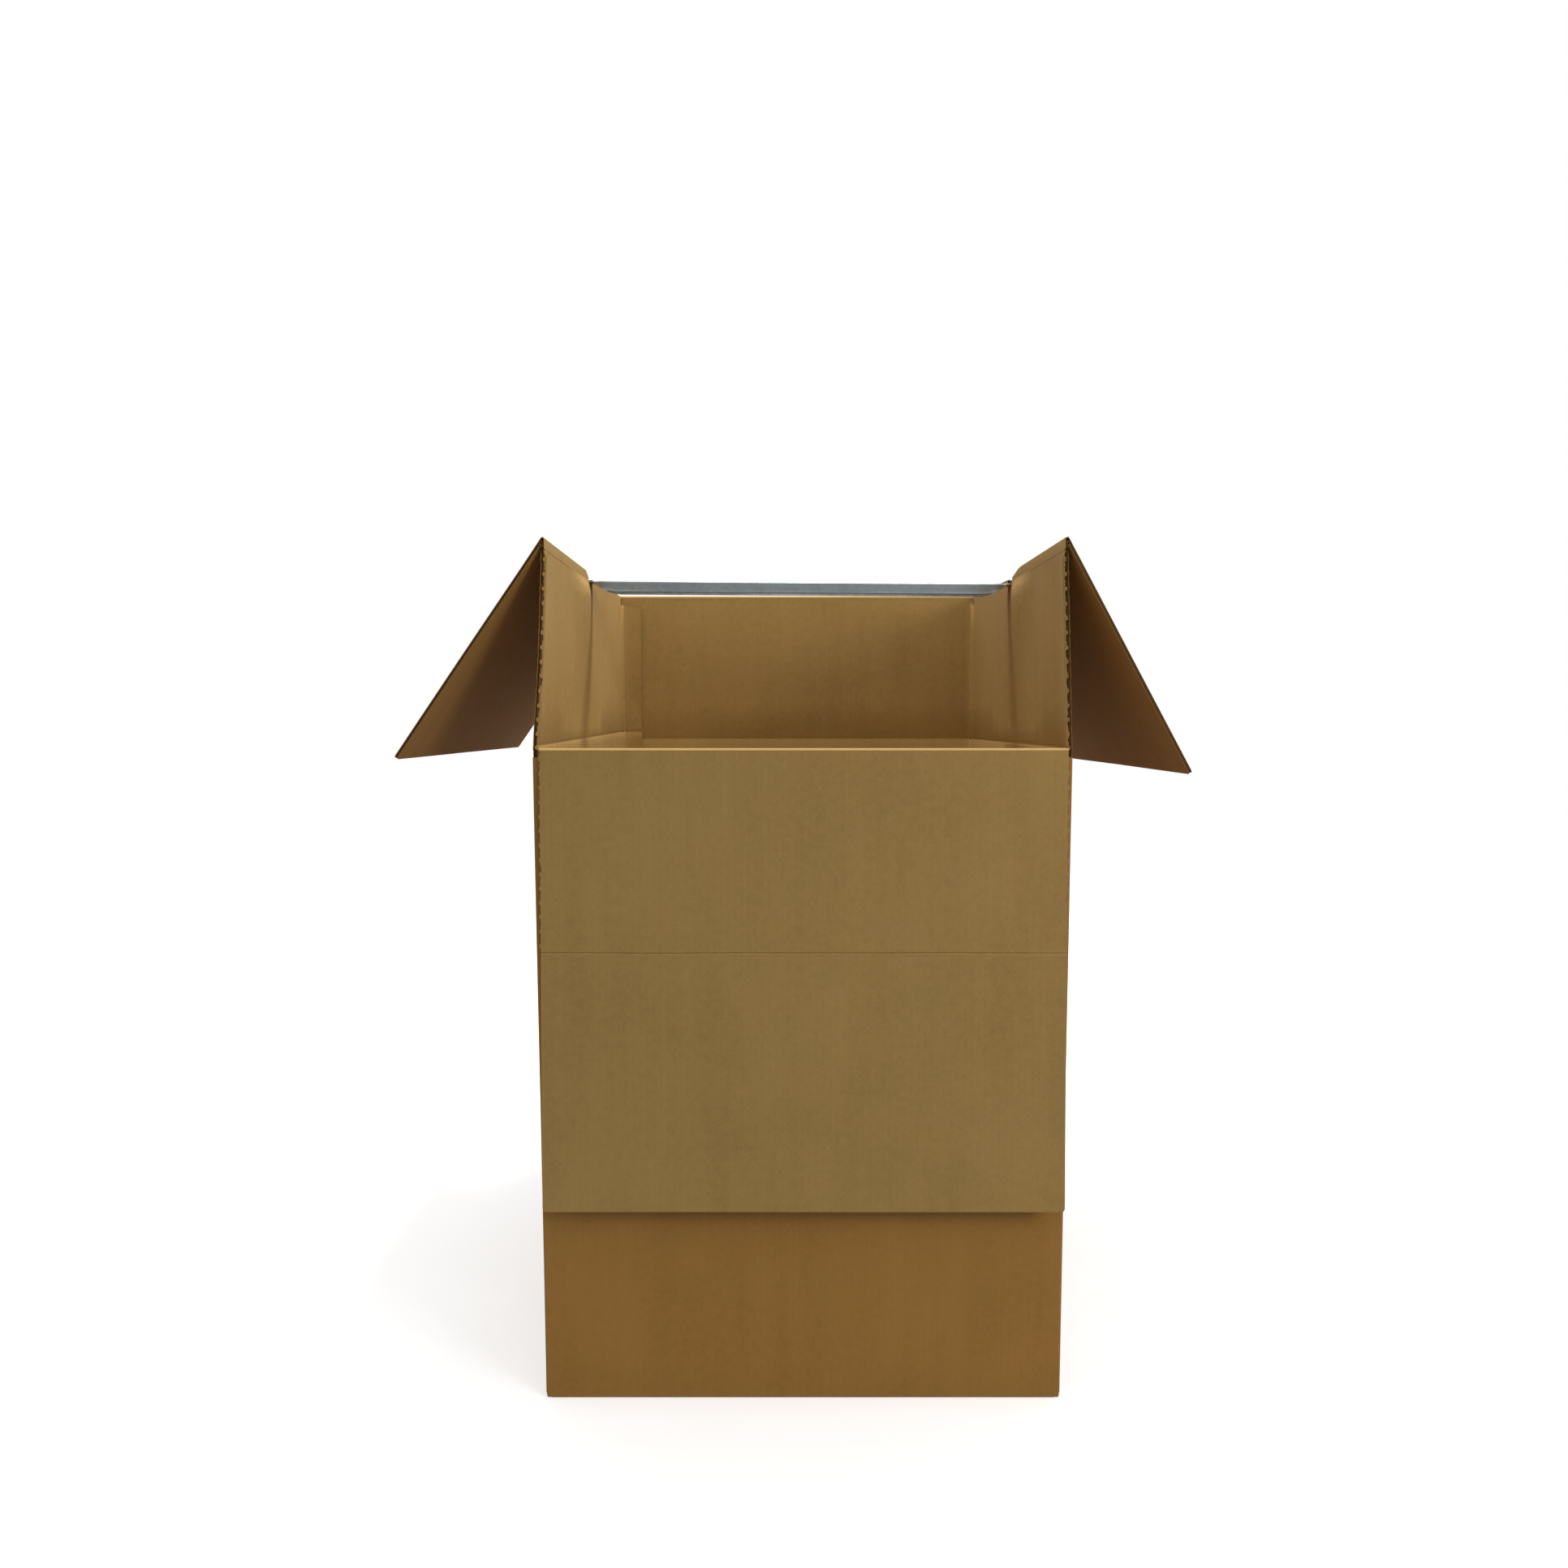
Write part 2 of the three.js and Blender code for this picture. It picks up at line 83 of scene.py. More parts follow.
class Tree:
    """A node tree with short calls for adding nodes and joining them."""

    def __init__(self, tree):
        self.tree = tree

    def add(self, kind, inputs=None, **settings):
        node = self.tree.nodes.new(kind)
        for key, value in settings.items():
            setattr(node, key, value)
        for key, value in (inputs or {}).items():
            self.feed(node.inputs[key], value)
        return node

    def feed(self, socket, value):
        if isinstance(value, bpy.types.NodeSocket):
            self.tree.links.new(value, socket)
        else:
            socket.default_value = value

    def math(self, operation, a, b=0.0, clamp=False):
        node = self.add("ShaderNodeMath", {0: a, 1: b}, operation=operation, use_clamp=clamp)
        return node.outputs[0]

    def vector(self, operation, a, b):
        node = self.add("ShaderNodeVectorMath", {0: a, 1: b}, operation=operation)
        return node.outputs[0]

    def noise(self, vector, scale, detail=2.0, roughness=0.5):
        node = self.add("ShaderNodeTexNoise", {
            "Vector": vector, "Scale": scale, "Detail": detail, "Roughness": roughness,
        })
        return node.outputs["Fac"]

    def ramp(self, value, low, high, to_low=0.0, to_high=1.0):
        node = self.add("ShaderNodeMapRange", {
            "Value": value, "From Min": low, "From Max": high, "To Min": to_low, "To Max": to_high,
        })
        return node.outputs[0]

    def mix(self, factor, a, b, blend="MIX"):
        node = self.add("ShaderNodeMix", data_type="RGBA", blend_type=blend)
        self.feed(node.inputs[0], factor)
        self.feed(node.inputs[6], a)
        self.feed(node.inputs[7], b)
        return node.outputs[2]


def colour(red, green, blue):
    """A colour written as 0 to 255 screen values, made linear."""
    def linear(value):
        value /= 255
        return value / 12.92 if value <= 0.04045 else ((value + 0.055) / 1.055) ** 2.4
    return (linear(red), linear(green), linear(blue), 1.0)


def kraft_paper(name, pale, base, dark, washboard):
    """Kraft liner. The pattern follows the board: u runs across the flutes, v along them."""
    material = bpy.data.materials.new(name)
    material.use_nodes = True
    t = Tree(material.node_tree)
    shader = material.node_tree.nodes["Principled BSDF"]
    board = t.add("ShaderNodeUVMap", uv_map="board").outputs[0]
    across = t.add("ShaderNodeSeparateXYZ", {0: board}).outputs[0]

    clouds = t.noise(board, 5.0, 3.0)
    mottle = t.noise(board, 95.0, 5.0, 0.7)
    streaks = t.noise(t.vector("MULTIPLY", board, (26.0, 2.2, 1.0)), 1.0, 4.0, 0.6)
    fibres = t.noise(t.vector("MULTIPLY", board, (240.0, 1900.0, 1.0)), 1.0, 3.0, 0.65)
    flecks = t.noise(t.vector("MULTIPLY", board, (420.0, 1100.0, 1.0)), 1.0, 1.0)
    ridges = t.math("SINE", t.math("MULTIPLY", across, 2 * math.pi / FLUTE_PITCH))
    ridges = t.math("MULTIPLY", ridges, t.ramp(streaks, 0.3, 0.75))

    tone = t.ramp(clouds, 0.25, 0.75, -0.16, 0.16)
    for pattern, reach in ((mottle, 0.2), (streaks, 0.12), (fibres, 0.26)):
        tone = t.math("ADD", tone, t.ramp(pattern, 0.25, 0.75, -reach, reach))
    tone = t.math("ADD", tone, t.math("MULTIPLY", ridges, washboard))
    tone = t.math("ADD", tone, 0.5, clamp=True)
    ramp = t.add("ShaderNodeValToRGB", {0: tone})
    ramp.color_ramp.elements[0].color = dark
    ramp.color_ramp.elements[1].color = pale
    middle = ramp.color_ramp.elements.new(0.5)
    middle.color = base
    speck = t.ramp(flecks, 0.70, 0.78, 0.0, 0.3)
    patches = t.ramp(t.noise(board, 11.0, 3.0, 0.6), 0.4, 0.7, 0.0, 0.4)
    tinted = t.mix(patches, ramp.outputs[0], OLIVE_TINT, "MULTIPLY")
    t.feed(shader.inputs["Base Color"], t.mix(speck, tinted, dark))
    t.feed(shader.inputs["Roughness"], t.ramp(mottle, 0.3, 0.7, 0.72, 0.9))
    shader.inputs["Specular IOR Level"].default_value = 0.28

    grain = t.math("ADD", t.math("MULTIPLY", fibres, 0.5), t.math("MULTIPLY", mottle, 0.7))
    height = t.math("ADD", t.math("MULTIPLY", ridges, 0.35), grain)
    bump = t.add("ShaderNodeBump", {"Height": height, "Strength": 0.5, "Distance": 0.00022})
    t.feed(shader.inputs["Normal"], bump.outputs[0])
    return material


kraft_outer = kraft_paper(
    "kraft_outer", colour(184, 136, 70), colour(175, 127, 62), colour(150, 105, 48), 0.025,
)
kraft_inner = kraft_paper(
    "kraft_inner", colour(187, 151, 92), colour(174, 139, 80), colour(151, 117, 63), 0.03,
)
kraft_medium = kraft_paper(
    "kraft_medium", colour(176, 146, 104), colour(152, 121, 82), colour(112, 84, 54), 0.0,
)
KRAFT = [kraft_outer, kraft_inner, kraft_medium]


def cut_sheet(outline, lines):
    """Points and triangles of a flat sheet inside its outline, with edges along the given lines."""
    points = [Vector(p) for p in outline]
    edges = []
    for start, end in lines:
        edges.append((len(points), len(points) + 1))
        points += [Vector(start), Vector(end)]
    face = list(range(len(outline)))
    made = delaunay_2d_cdt(points, edges, [face], 0, 1e-7, True)
    triangles = [f for f, source in zip(made[2], made[5]) if source]
    used = sorted({i for f in triangles for i in f})
    index = {old: new for new, old in enumerate(used)}
    return [made[0][i] for i in used], [[index[i] for i in f] for f in triangles]


def net(low, high, spacing):
    """Lines of an even net over a rectangle."""
    lines = []
    for k, other in ((0, 1), (1, 0)):
        count = max(1, round((high[k] - low[k]) / spacing))
        for i in range(1, count):
            value = low[k] + (high[k] - low[k]) * i / count
            start, end = [0.0, 0.0], [0.0, 0.0]
            start[k] = end[k] = value
            start[other], end[other] = low[other], high[other]
            lines.append((start, end))
    return lines


def even_edge(outline, spacing):
    """The outline with points added so that no side is longer than the spacing."""
    points = []
    for a, b in zip(outline, outline[1:] + outline[:1]):
        count = max(1, math.ceil(math.dist(a, b) / spacing))
        for i in range(count):
            points.append(tuple(p + (q - p) * i / count for p, q in zip(a, b)))
    return points


def shell(points, triangles, place, near, far, material):
    """A closed sheet of paper between two depths in the board, as (vertices, faces, uvs, material)."""
    count = len(points)
    vertices = [place(u, v, w) for w in (near, far) for u, v in points]
    sides = {}
    for a, b, c in triangles:
        for edge in ((a, b), (b, c), (c, a)):
            if edge[::-1] in sides:
                del sides[edge[::-1]]
            else:
                sides[edge] = True
    faces = [list(f) for f in triangles]
    faces += [[i + count for i in reversed(f)] for f in triangles]
    faces += [[b, a, a + count, b + count] for a, b in sides]
    uvs = [tuple(p) for p in points] * 2
    return turned_out(vertices, faces), faces, uvs, material


def turned_out(vertices, faces):
    """Turns every face round if the closed mesh is inside out, and returns the vertices."""
    volume = 0.0
    for face in faces:
        a = Vector(vertices[face[0]])
        for i in range(1, len(face) - 1):
            volume += a.dot(Vector(vertices[face[i]]).cross(Vector(vertices[face[i + 1]])))
    if volume < 0:
        for face in faces:
            face.reverse()
    return vertices


def make_piece(name, parts, materials=KRAFT, sharp=35):
    """One mesh object from (vertices, faces, uvs, material) parts, with a UV map in metres of board."""
    vertices, faces, uvs, indices = [], [], [], []
    for part_vertices, part_faces, part_uvs, material in parts:
        start = len(vertices)
        vertices += part_vertices
        uvs += part_uvs
        faces += [[i + start for i in face] for face in part_faces]
        indices += [material] * len(part_faces)
    mesh = bpy.data.meshes.new(name)
    mesh.from_pydata(vertices, [], faces)
    layer = mesh.uv_layers.new(name="board")
    corners = [c for loop in mesh.loops for c in uvs[loop.vertex_index]]
    layer.data.foreach_set("uv", corners)
    mesh.polygons.foreach_set("material_index", indices)
    mesh.polygons.foreach_set("use_smooth", [True] * len(faces))
    mesh.set_sharp_from_angle(angle=math.radians(sharp))
    for material in materials:
        mesh.materials.append(material)
    mesh.update()
    piece = bpy.data.objects.new(name, mesh)
    bpy.context.scene.collection.objects.link(piece)
    return piece


def fluting_nodes():
    """Geometry Nodes that press flutes into a flat medium and give it the paper's thickness."""
    group = bpy.data.node_groups.new("fluting", "GeometryNodeTree")
    sockets = (
        ("Medium", "INPUT", "NodeSocketGeometry"),
        ("Pitch", "INPUT", "NodeSocketFloat"),
        ("Depth", "INPUT", "NodeSocketFloat"),
        ("Gauge", "INPUT", "NodeSocketFloat"),
        ("Paper", "INPUT", "NodeSocketMaterial"),
        ("Fluting", "OUTPUT", "NodeSocketGeometry"),
    )
    for label, way, kind in sockets:
        group.interface.new_socket(label, in_out=way, socket_type=kind)
    t = Tree(group)
    given = t.add("NodeGroupInput").outputs
    across = t.add("GeometryNodeInputNamedAttribute", {"Name": "across"}, data_type="FLOAT").outputs[0]
    crush = t.add("GeometryNodeInputNamedAttribute", {"Name": "crush"}, data_type="FLOAT").outputs[0]
    normal = t.add("GeometryNodeInputNormal").outputs[0]
    turn = t.math("MULTIPLY", t.math("DIVIDE", across, given["Pitch"]), 2 * math.pi)
    wave = t.math("MULTIPLY", t.math("SINE", turn), t.math("MULTIPLY", given["Depth"], 0.5))
    wave = t.math("MULTIPLY", wave, crush)
    offset = t.add("ShaderNodeVectorMath", {0: normal, "Scale": wave}, operation="SCALE").outputs[0]
    pressed = t.add("GeometryNodeSetPosition", {"Geometry": given["Medium"], "Offset": offset})
    front = t.add(
        "GeometryNodeExtrudeMesh",
        {"Mesh": pressed.outputs[0], "Offset Scale": given["Gauge"], "Individual": False},
    )
    back = t.add("GeometryNodeFlipFaces", {"Mesh": pressed.outputs[0]})
    both = t.add("GeometryNodeJoinGeometry")
    t.tree.links.new(front.outputs[0], both.inputs[0])
    t.tree.links.new(back.outputs[0], both.inputs[0])
    whole = t.add("GeometryNodeMergeByDistance", {"Geometry": both.outputs[0], "Distance": 1e-6})
    real = t.add("GeometryNodeRealizeInstances", {"Geometry": whole.outputs[0]})
    dressed = t.add(
        "GeometryNodeSetMaterial", {"Geometry": real.outputs[0], "Material": given["Paper"]},
    )
    t.add("NodeGroupOutput", {0: dressed.outputs[0]})
    return group


FLUTING = fluting_nodes()


def run_nodes(piece, group, **values):
    """Runs a node group on a piece once and returns the mesh that it makes."""
    modifier = piece.modifiers.new(group.name, "NODES")
    modifier.node_group = group
    for item in group.interface.items_tree:
        if item.in_out == "INPUT" and item.name in values:
            modifier[item.identifier] = values[item.name]
    bpy.context.view_layer.update()
    evaluated = piece.evaluated_get(bpy.context.evaluated_depsgraph_get())
    mesh = bpy.data.meshes.new_from_object(evaluated)
    piece.modifiers.remove(modifier)
    return mesh


def spans(outline, u):
    """Where an upright line crosses the outline, as (low, high) pairs."""
    crossings = []
    for (u0, v0), (u1, v1) in zip(outline, outline[1:] + outline[:1]):
        if (u0 <= u) != (u1 <= u):
            crossings.append(v0 + (v1 - v0) * (u - u0) / (u1 - u0))
    crossings.sort()
    return list(zip(crossings[::2], crossings[1::2]))


def fluting(outline, place, rows, crushed=lambda u, v: 1.0, inset=0.0006):
    """The fluted medium inside an outline, as (vertices, faces, uvs, material)."""
    low = min(u for u, v in outline) + inset * 2
    high = max(u for u, v in outline) - inset * 2
    count = round((high - low) / FLUTE_PITCH * FLUTE_SAMPLES)
    tracks, last = [], []
    for i in range(count + 1):
        u = low + (high - low) * i / count
        found = [(a + inset, b - inset) for a, b in spans(outline, u) if b - a > SPAN_LEAST]
        now = []
        for a, b in found:
            before = next((t for t in last if t[-1][1] < b and t[-1][2] > a), None)
            if before is None or len(found) != len(last):
                before = []
                tracks.append(before)
            before.append((u, a, b))
            now.append(before)
        last = now
    vertices, faces, uvs = [], [], []
    for track in tracks:
        if len(track) < 2:
            continue
        start = len(vertices)
        wanted = rows(track[len(track) // 2][0])
        for u, a, b in track:
            for v in wanted:
                uvs.append((u, min(max(v, a), b)))
            uvs[-len(wanted)] = (u, a)
            uvs[-1] = (u, b)
        for i in range(len(track) - 1):
            for j in range(len(wanted) - 1):
                corner = start + i * len(wanted) + j
                faces.append((corner, corner + len(wanted), corner + len(wanted) + 1, corner + 1))
        vertices += [place(u, v, BOARD / 2) for u, v in uvs[start:]]
    mesh = bpy.data.meshes.new("medium")
    mesh.from_pydata(vertices, [], faces)
    for label, values in (
        ("across", [u for u, v in uvs]),
        ("along", [v for u, v in uvs]),
        ("crush", [crushed(u, v) for u, v in uvs]),
    ):
        mesh.attributes.new(label, "FLOAT", "POINT").data.foreach_set("value", values)
    flat = bpy.data.objects.new("medium", mesh)
    bpy.context.scene.collection.objects.link(flat)
    depth = BOARD - 2 * LINER - FLUTE_GAUGE - FLUTE_CLEAR
    made = run_nodes(flat, FLUTING, Pitch=FLUTE_PITCH, Depth=depth, Gauge=FLUTE_GAUGE, Paper=kraft_medium)
    across = [item.value for item in made.attributes["across"].data]
    along = [item.value for item in made.attributes["along"].data]
    part = (
        [v.co.copy() for v in made.vertices],
        [list(p.vertices) for p in made.polygons],
        list(zip(across, along)),
        MEDIUM,
    )
    turned_out(part[0], part[1])
    bpy.data.objects.remove(flat)
    return part


def turn(along, depth, radius):
    """A point of a sheet that is folded at a right angle, as its distances from the two faces.
    along is positive on the first leg and negative on the second."""
    if along >= radius:
        return depth, along
    if along <= -radius:
        return -along, depth
    bend = max(radius - depth, 0.0003)
    centre = depth + bend
    angle = math.radians(45) * (1 - along / radius)
    return centre - bend * math.cos(angle), centre - bend * math.sin(angle)


# Carton. One die-cut and scored sheet, wrapped round into four walls and closed by a tab glued
# inside the back wall. Its bottom flaps are folded under, and its side walls end in front at the
# perforations that the front panel was torn from. The rail pulls the side walls inwards.
high_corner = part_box("carton_body")[1]
HALF_WIDTH, HALF_DEPTH = high_corner.x, high_corner.y
INSIDE = HALF_DEPTH - BOARD
CORNER_RADIUS, FOLD_RADIUS = 0.0035, 0.003
FOLD_GAP, LAYER_GAP = 0.00035, 0.0003
SIDE_FLOOR = BOARD + LAYER_GAP
hinges = {joint["child"]: joint for joint in frame["joints"]}
DOOR_LINE = hinges["front_panel"]["pos_m"][2]
SIDE_TOP = hinges["left_flap"]["pos_m"][2]
BACK_TOP = hinges["back_flap"]["pos_m"][2]
TORN_EDGE = INSIDE - LAYER_GAP
TIE_PITCH, TIE_HEIGHT, TIE_STAND, TIE_EDGE = 0.0165, 0.0045, 0.0015, 0.0008
FIBRE_RATE, FIBRE_DEPTH = 900, 0.0006
WAVE_RATE, WAVE_DEPTH = 260, 0.0009
NICK_RATE, NICK_DEPTH, NICK_LEAST = 60, 0.004, 0.2
TEAR_STEP, MEDIUM_TEAR_STEP = 0.0009, 0.004
RELIEF = DOOR_LINE - 0.008
DOOR_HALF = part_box("front_door")[1].x
FLAP_INSET = 0.0025
TAB_WIDTH, TAB_FOOT, TAB_SLOPE = 0.035, 0.020, 0.006
SLOT, BOTTOM_SHORT, SIDE_BOTTOM_SHORT, STEP_HALF = 0.0012, 0.001, 0.0048, 0.0005
LEAN = {"left": 0.0105, "right": 0.0091}
PINCH = {"left": 0.007, "right": 0.0045}
RIDGE_OFFSET, RIDGE_RISE, RIDGE_FALL, RIDGE_PEAK = 0.045, 0.115, 0.095, 0.89
CREASE_DEPTH, CREASE_HALF = 0.0007, 0.003
CREASES = {
    "left": (0.784, 0.787), "right": (0.782, 0.775), "back": (0.7755, 0.7755), "tab": (0.788, 0.788),
}
CORNER_BEAD, BEAD_PLACE, BEAD_HALF = 0.0036, 0.0070, 0.0020
BEAD_FOOT, BEAD_TOP, BEAD_FADE = DOOR_LINE - 0.2, SIDE_TOP - BOARD - 0.001, 0.008
SPREAD, SPREAD_FADE, SPREAD_REACH = 0.0028, 0.12, 0.30
FRAY, FRAY_REACH, FRAY_SQUASH = 0.0009, 0.010, 0.6
FRAY_RATE, FRAY_RATE_FINE, FRAY_RATE_DEEP, FRAY_FINE_SHARE = 160, 480, 900, 0.6
SCORED_LEAST, CREASED_LEAST, CORNER_CRUSH, FOLD_CRUSH = 0.15, 0.5, 0.008, 0.006
NOTCH_HALF = 0.016
NOTCH_FLOOR = {"left": 1.0061, "right": 1.0021}
SIDES = ("left", "right")
NET_LEFT, NET_FOOT, NET_COARSE, NET_FINE = -0.04, -0.01, 0.06, 0.012
BULGE_ROWS = (0.81, 0.84, 0.87, 0.90, 0.93, 0.95, 0.97, 0.985, 0.995, 1.003)

# Where each upright fold lies along the sheet, from the tab's fold at the back left.
FRONT_LEFT = HALF_DEPTH + INSIDE
FRONT_RIGHT = FRONT_LEFT + 2 * HALF_WIDTH
BACK_RIGHT = FRONT_RIGHT + 2 * HALF_DEPTH
SHEET_END = BACK_RIGHT + 2 * HALF_WIDTH - 0.0015
CORNERS = (
    (0.0, Vector((-HALF_WIDTH, INSIDE, 0)), Vector((1, 0, 0)), Vector((0, -1, 0))),
    (FRONT_LEFT, Vector((-HALF_WIDTH, -HALF_DEPTH, 0)), Vector((0, 1, 0)), Vector((1, 0, 0))),
    (FRONT_RIGHT, Vector((HALF_WIDTH, -HALF_DEPTH, 0)), Vector((-1, 0, 0)), Vector((0, 1, 0))),
    (BACK_RIGHT, Vector((HALF_WIDTH, HALF_DEPTH, 0)), Vector((0, -1, 0)), Vector((-1, 0, 0))),
)


def smooth(t):
    t = min(max(t, 0.0), 1.0)
    return t * t * (3 - 2 * t)


def wall_lean(lean, y):
    return lean * (INSIDE - y) / (2 * INSIDE)


def wall_inset(wall, y, height):
    """How far a side wall has moved in at depth y, from height 0 at its crease to 1 at its top."""
    centre = -RIDGE_OFFSET * height
    if y < centre:
        across = smooth(1 - (centre - y) / RIDGE_RISE)
    else:
        across = max(0.0, 1 - (y - centre) / RIDGE_FALL) ** 2
    if height < RIDGE_PEAK:
        along = smooth(height / RIDGE_PEAK)
    else:
        along = smooth((1 - height) / (1 - RIDGE_PEAK))
    return wall_lean(LEAN[wall], y) * height + PINCH[wall] * across * along


def wall_of(u):
    if u < 0:
        return "tab"
    if u < FRONT_LEFT:
        return "left"
    if u < FRONT_RIGHT:
        return "front"
    return "right" if u < BACK_RIGHT else "back"


def floor_of(wall):
    """The height of the fold under a wall: the side flaps lie on the front and back ones."""
    return SIDE_FLOOR if wall in SIDES else 0.0


def crease_height(wall, u):
    """The height of the crease pressed across a wall, at a place along the sheet."""
    front, rear = CREASES[wall]
    if wall == "left":
        return rear + (front - rear) * u / FRONT_LEFT
    if wall == "right":
        return front + (rear - front) * (u - FRONT_RIGHT) / (BACK_RIGHT - FRONT_RIGHT)
    return front


def on_carton(u, v, w):
    """The place of a point of the sheet: u round the carton, v up, w in from the outer face."""
    wall = wall_of(u)
    if wall != "front":
        off = abs(v - crease_height(wall, u))
        w -= CREASE_DEPTH * max(0.0, 1 - off / CREASE_HALF) * (w / BOARD) ** 2
    floor = floor_of(wall)
    fold, corner, before, after = min(CORNERS, key=lambda c: abs(u - c[0]))
    if v > BEAD_FOOT:
        bead = math.exp(-((abs(u - fold) - BEAD_PLACE) / BEAD_HALF) ** 2)
        bead *= smooth((BEAD_TOP - v) / BEAD_FADE)
        w += CORNER_BEAD * bead * (w / BOARD) ** 2
    if v > RELIEF and wall in SIDES:
        deep = w * FRAY_RATE_DEEP
        ragged = noise.noise(Vector((v * FRAY_RATE, deep, 2)))
        ragged += FRAY_FINE_SHARE * noise.noise(Vector((v * FRAY_RATE_FINE, deep, 6)))
        torn_side = min(abs(u - FRONT_LEFT), abs(u - FRONT_RIGHT))
        squash = smooth(1 - torn_side / FRAY_REACH)
        w = w * (1 - FRAY_SQUASH * squash) + FRAY * ragged * squash
    inward, up = turn(v - floor, w, FOLD_RADIUS)
    x, y = turn(fold - u, inward, CORNER_RADIUS)
    point = corner + after * x + before * y
    point.z = floor + up
    if wall in SIDES:
        foot = crease_height(wall, u) + CREASE_HALF
        height = min(max((v - foot) / (SIDE_TOP - FOLD_GAP - foot), 0.0), 1.0)
        inset = wall_inset(wall, point.y, height)
        point.x += inset if wall == "left" else -inset
    risen = smooth(v / DOOR_LINE) * (1 - smooth((v - DOOR_LINE) / SPREAD_FADE))
    point.x -= SPREAD * risen * max(0.0, 1 - abs(u - FRONT_LEFT) / SPREAD_REACH)
    return point


def torn(v, seed):
    """How far back from the perforation line a torn edge lies: fibres, nicks and standing ties."""
    step = (v - DOOR_LINE) % TIE_PITCH
    stand = smooth(min(step, TIE_HEIGHT - step) / TIE_EDGE + 0.5) if v > DOOR_LINE else 0.0
    fray = noise.noise(Vector((v * FIBRE_RATE, seed, 0))) * FIBRE_DEPTH
    fray += noise.noise(Vector((v * WAVE_RATE, seed, 5))) * WAVE_DEPTH
    nick = max(0.0, noise.noise(Vector((v * NICK_RATE, seed, 9))) - NICK_LEAST) * NICK_DEPTH
    return TIE_STAND * (1 - stand) + fray + nick


def blank(depth, seed, tear_step):
    """The outline of the carton's sheet at a depth in the board, in metres of flat sheet."""
    flap_end = FLAP_INSET + BOARD
    bottom = -(HALF_DEPTH - BOTTOM_SHORT)
    side_bottom = bottom + SIDE_BOTTOM_SHORT
    tab_root = -0.002
    side_top = SIDE_TOP - FOLD_GAP - depth
    back_top = BACK_TOP - FOLD_GAP - depth
    tab_edge = -(TAB_WIDTH + BOARD)
    tab_top = SIDE_TOP - BOARD - 0.002
    side_slot = SIDE_FLOOR + SLOT
    steps = int((side_top - RELIEF) / tear_step)
    heights = [RELIEF + (side_top - RELIEF) * i / steps for i in range(steps + 1)]
    middle_left = INSIDE
    middle_right = FRONT_RIGHT + HALF_DEPTH
    panel_left = FRONT_LEFT + (HALF_WIDTH - DOOR_HALF)
    panel_right = FRONT_RIGHT - (HALF_WIDTH - DOOR_HALF)
    points = [
        (tab_edge, TAB_FOOT + TAB_SLOPE), (tab_root, TAB_FOOT), (tab_root, side_slot),
        (flap_end, side_slot), (flap_end, side_bottom),
        (FRONT_LEFT - flap_end, side_bottom), (FRONT_LEFT - flap_end, SLOT),
        (FRONT_LEFT + flap_end, SLOT), (FRONT_LEFT + flap_end, bottom),
        (FRONT_RIGHT - flap_end, bottom), (FRONT_RIGHT - flap_end, SLOT),
        (FRONT_RIGHT + flap_end, SLOT), (FRONT_RIGHT + flap_end, side_bottom),
        (BACK_RIGHT - flap_end, side_bottom), (BACK_RIGHT - flap_end, SLOT),
        (BACK_RIGHT + flap_end, SLOT), (BACK_RIGHT + flap_end, bottom),
        (SHEET_END - flap_end, bottom), (SHEET_END - flap_end, SLOT), (SHEET_END, SLOT),
        (SHEET_END, back_top), (BACK_RIGHT + STEP_HALF, back_top), (BACK_RIGHT - STEP_HALF, side_top),
        (middle_right + NOTCH_HALF, side_top), (middle_right + NOTCH_HALF, NOTCH_FLOOR["right"]),
        (middle_right - NOTCH_HALF, NOTCH_FLOOR["right"]), (middle_right - NOTCH_HALF, side_top),
    ]
    torn_line = HALF_DEPTH - TORN_EDGE
    points += [(FRONT_RIGHT + torn_line + torn(v, seed), v) for v in reversed(heights)]
    points += [
        (panel_right, RELIEF), (panel_right, DOOR_LINE - FOLD_GAP),
        (panel_left, DOOR_LINE - FOLD_GAP), (panel_left, RELIEF),
    ]
    points += [(FRONT_LEFT - torn_line - torn(v, seed + 3), v) for v in heights]
    points += [
        (middle_left + NOTCH_HALF, side_top), (middle_left + NOTCH_HALF, NOTCH_FLOOR["left"]),
        (middle_left - NOTCH_HALF, NOTCH_FLOOR["left"]), (middle_left - NOTCH_HALF, side_top),
        (0.001, side_top), (-0.001, tab_top), (tab_edge, tab_top - TAB_SLOPE),
    ]
    return points


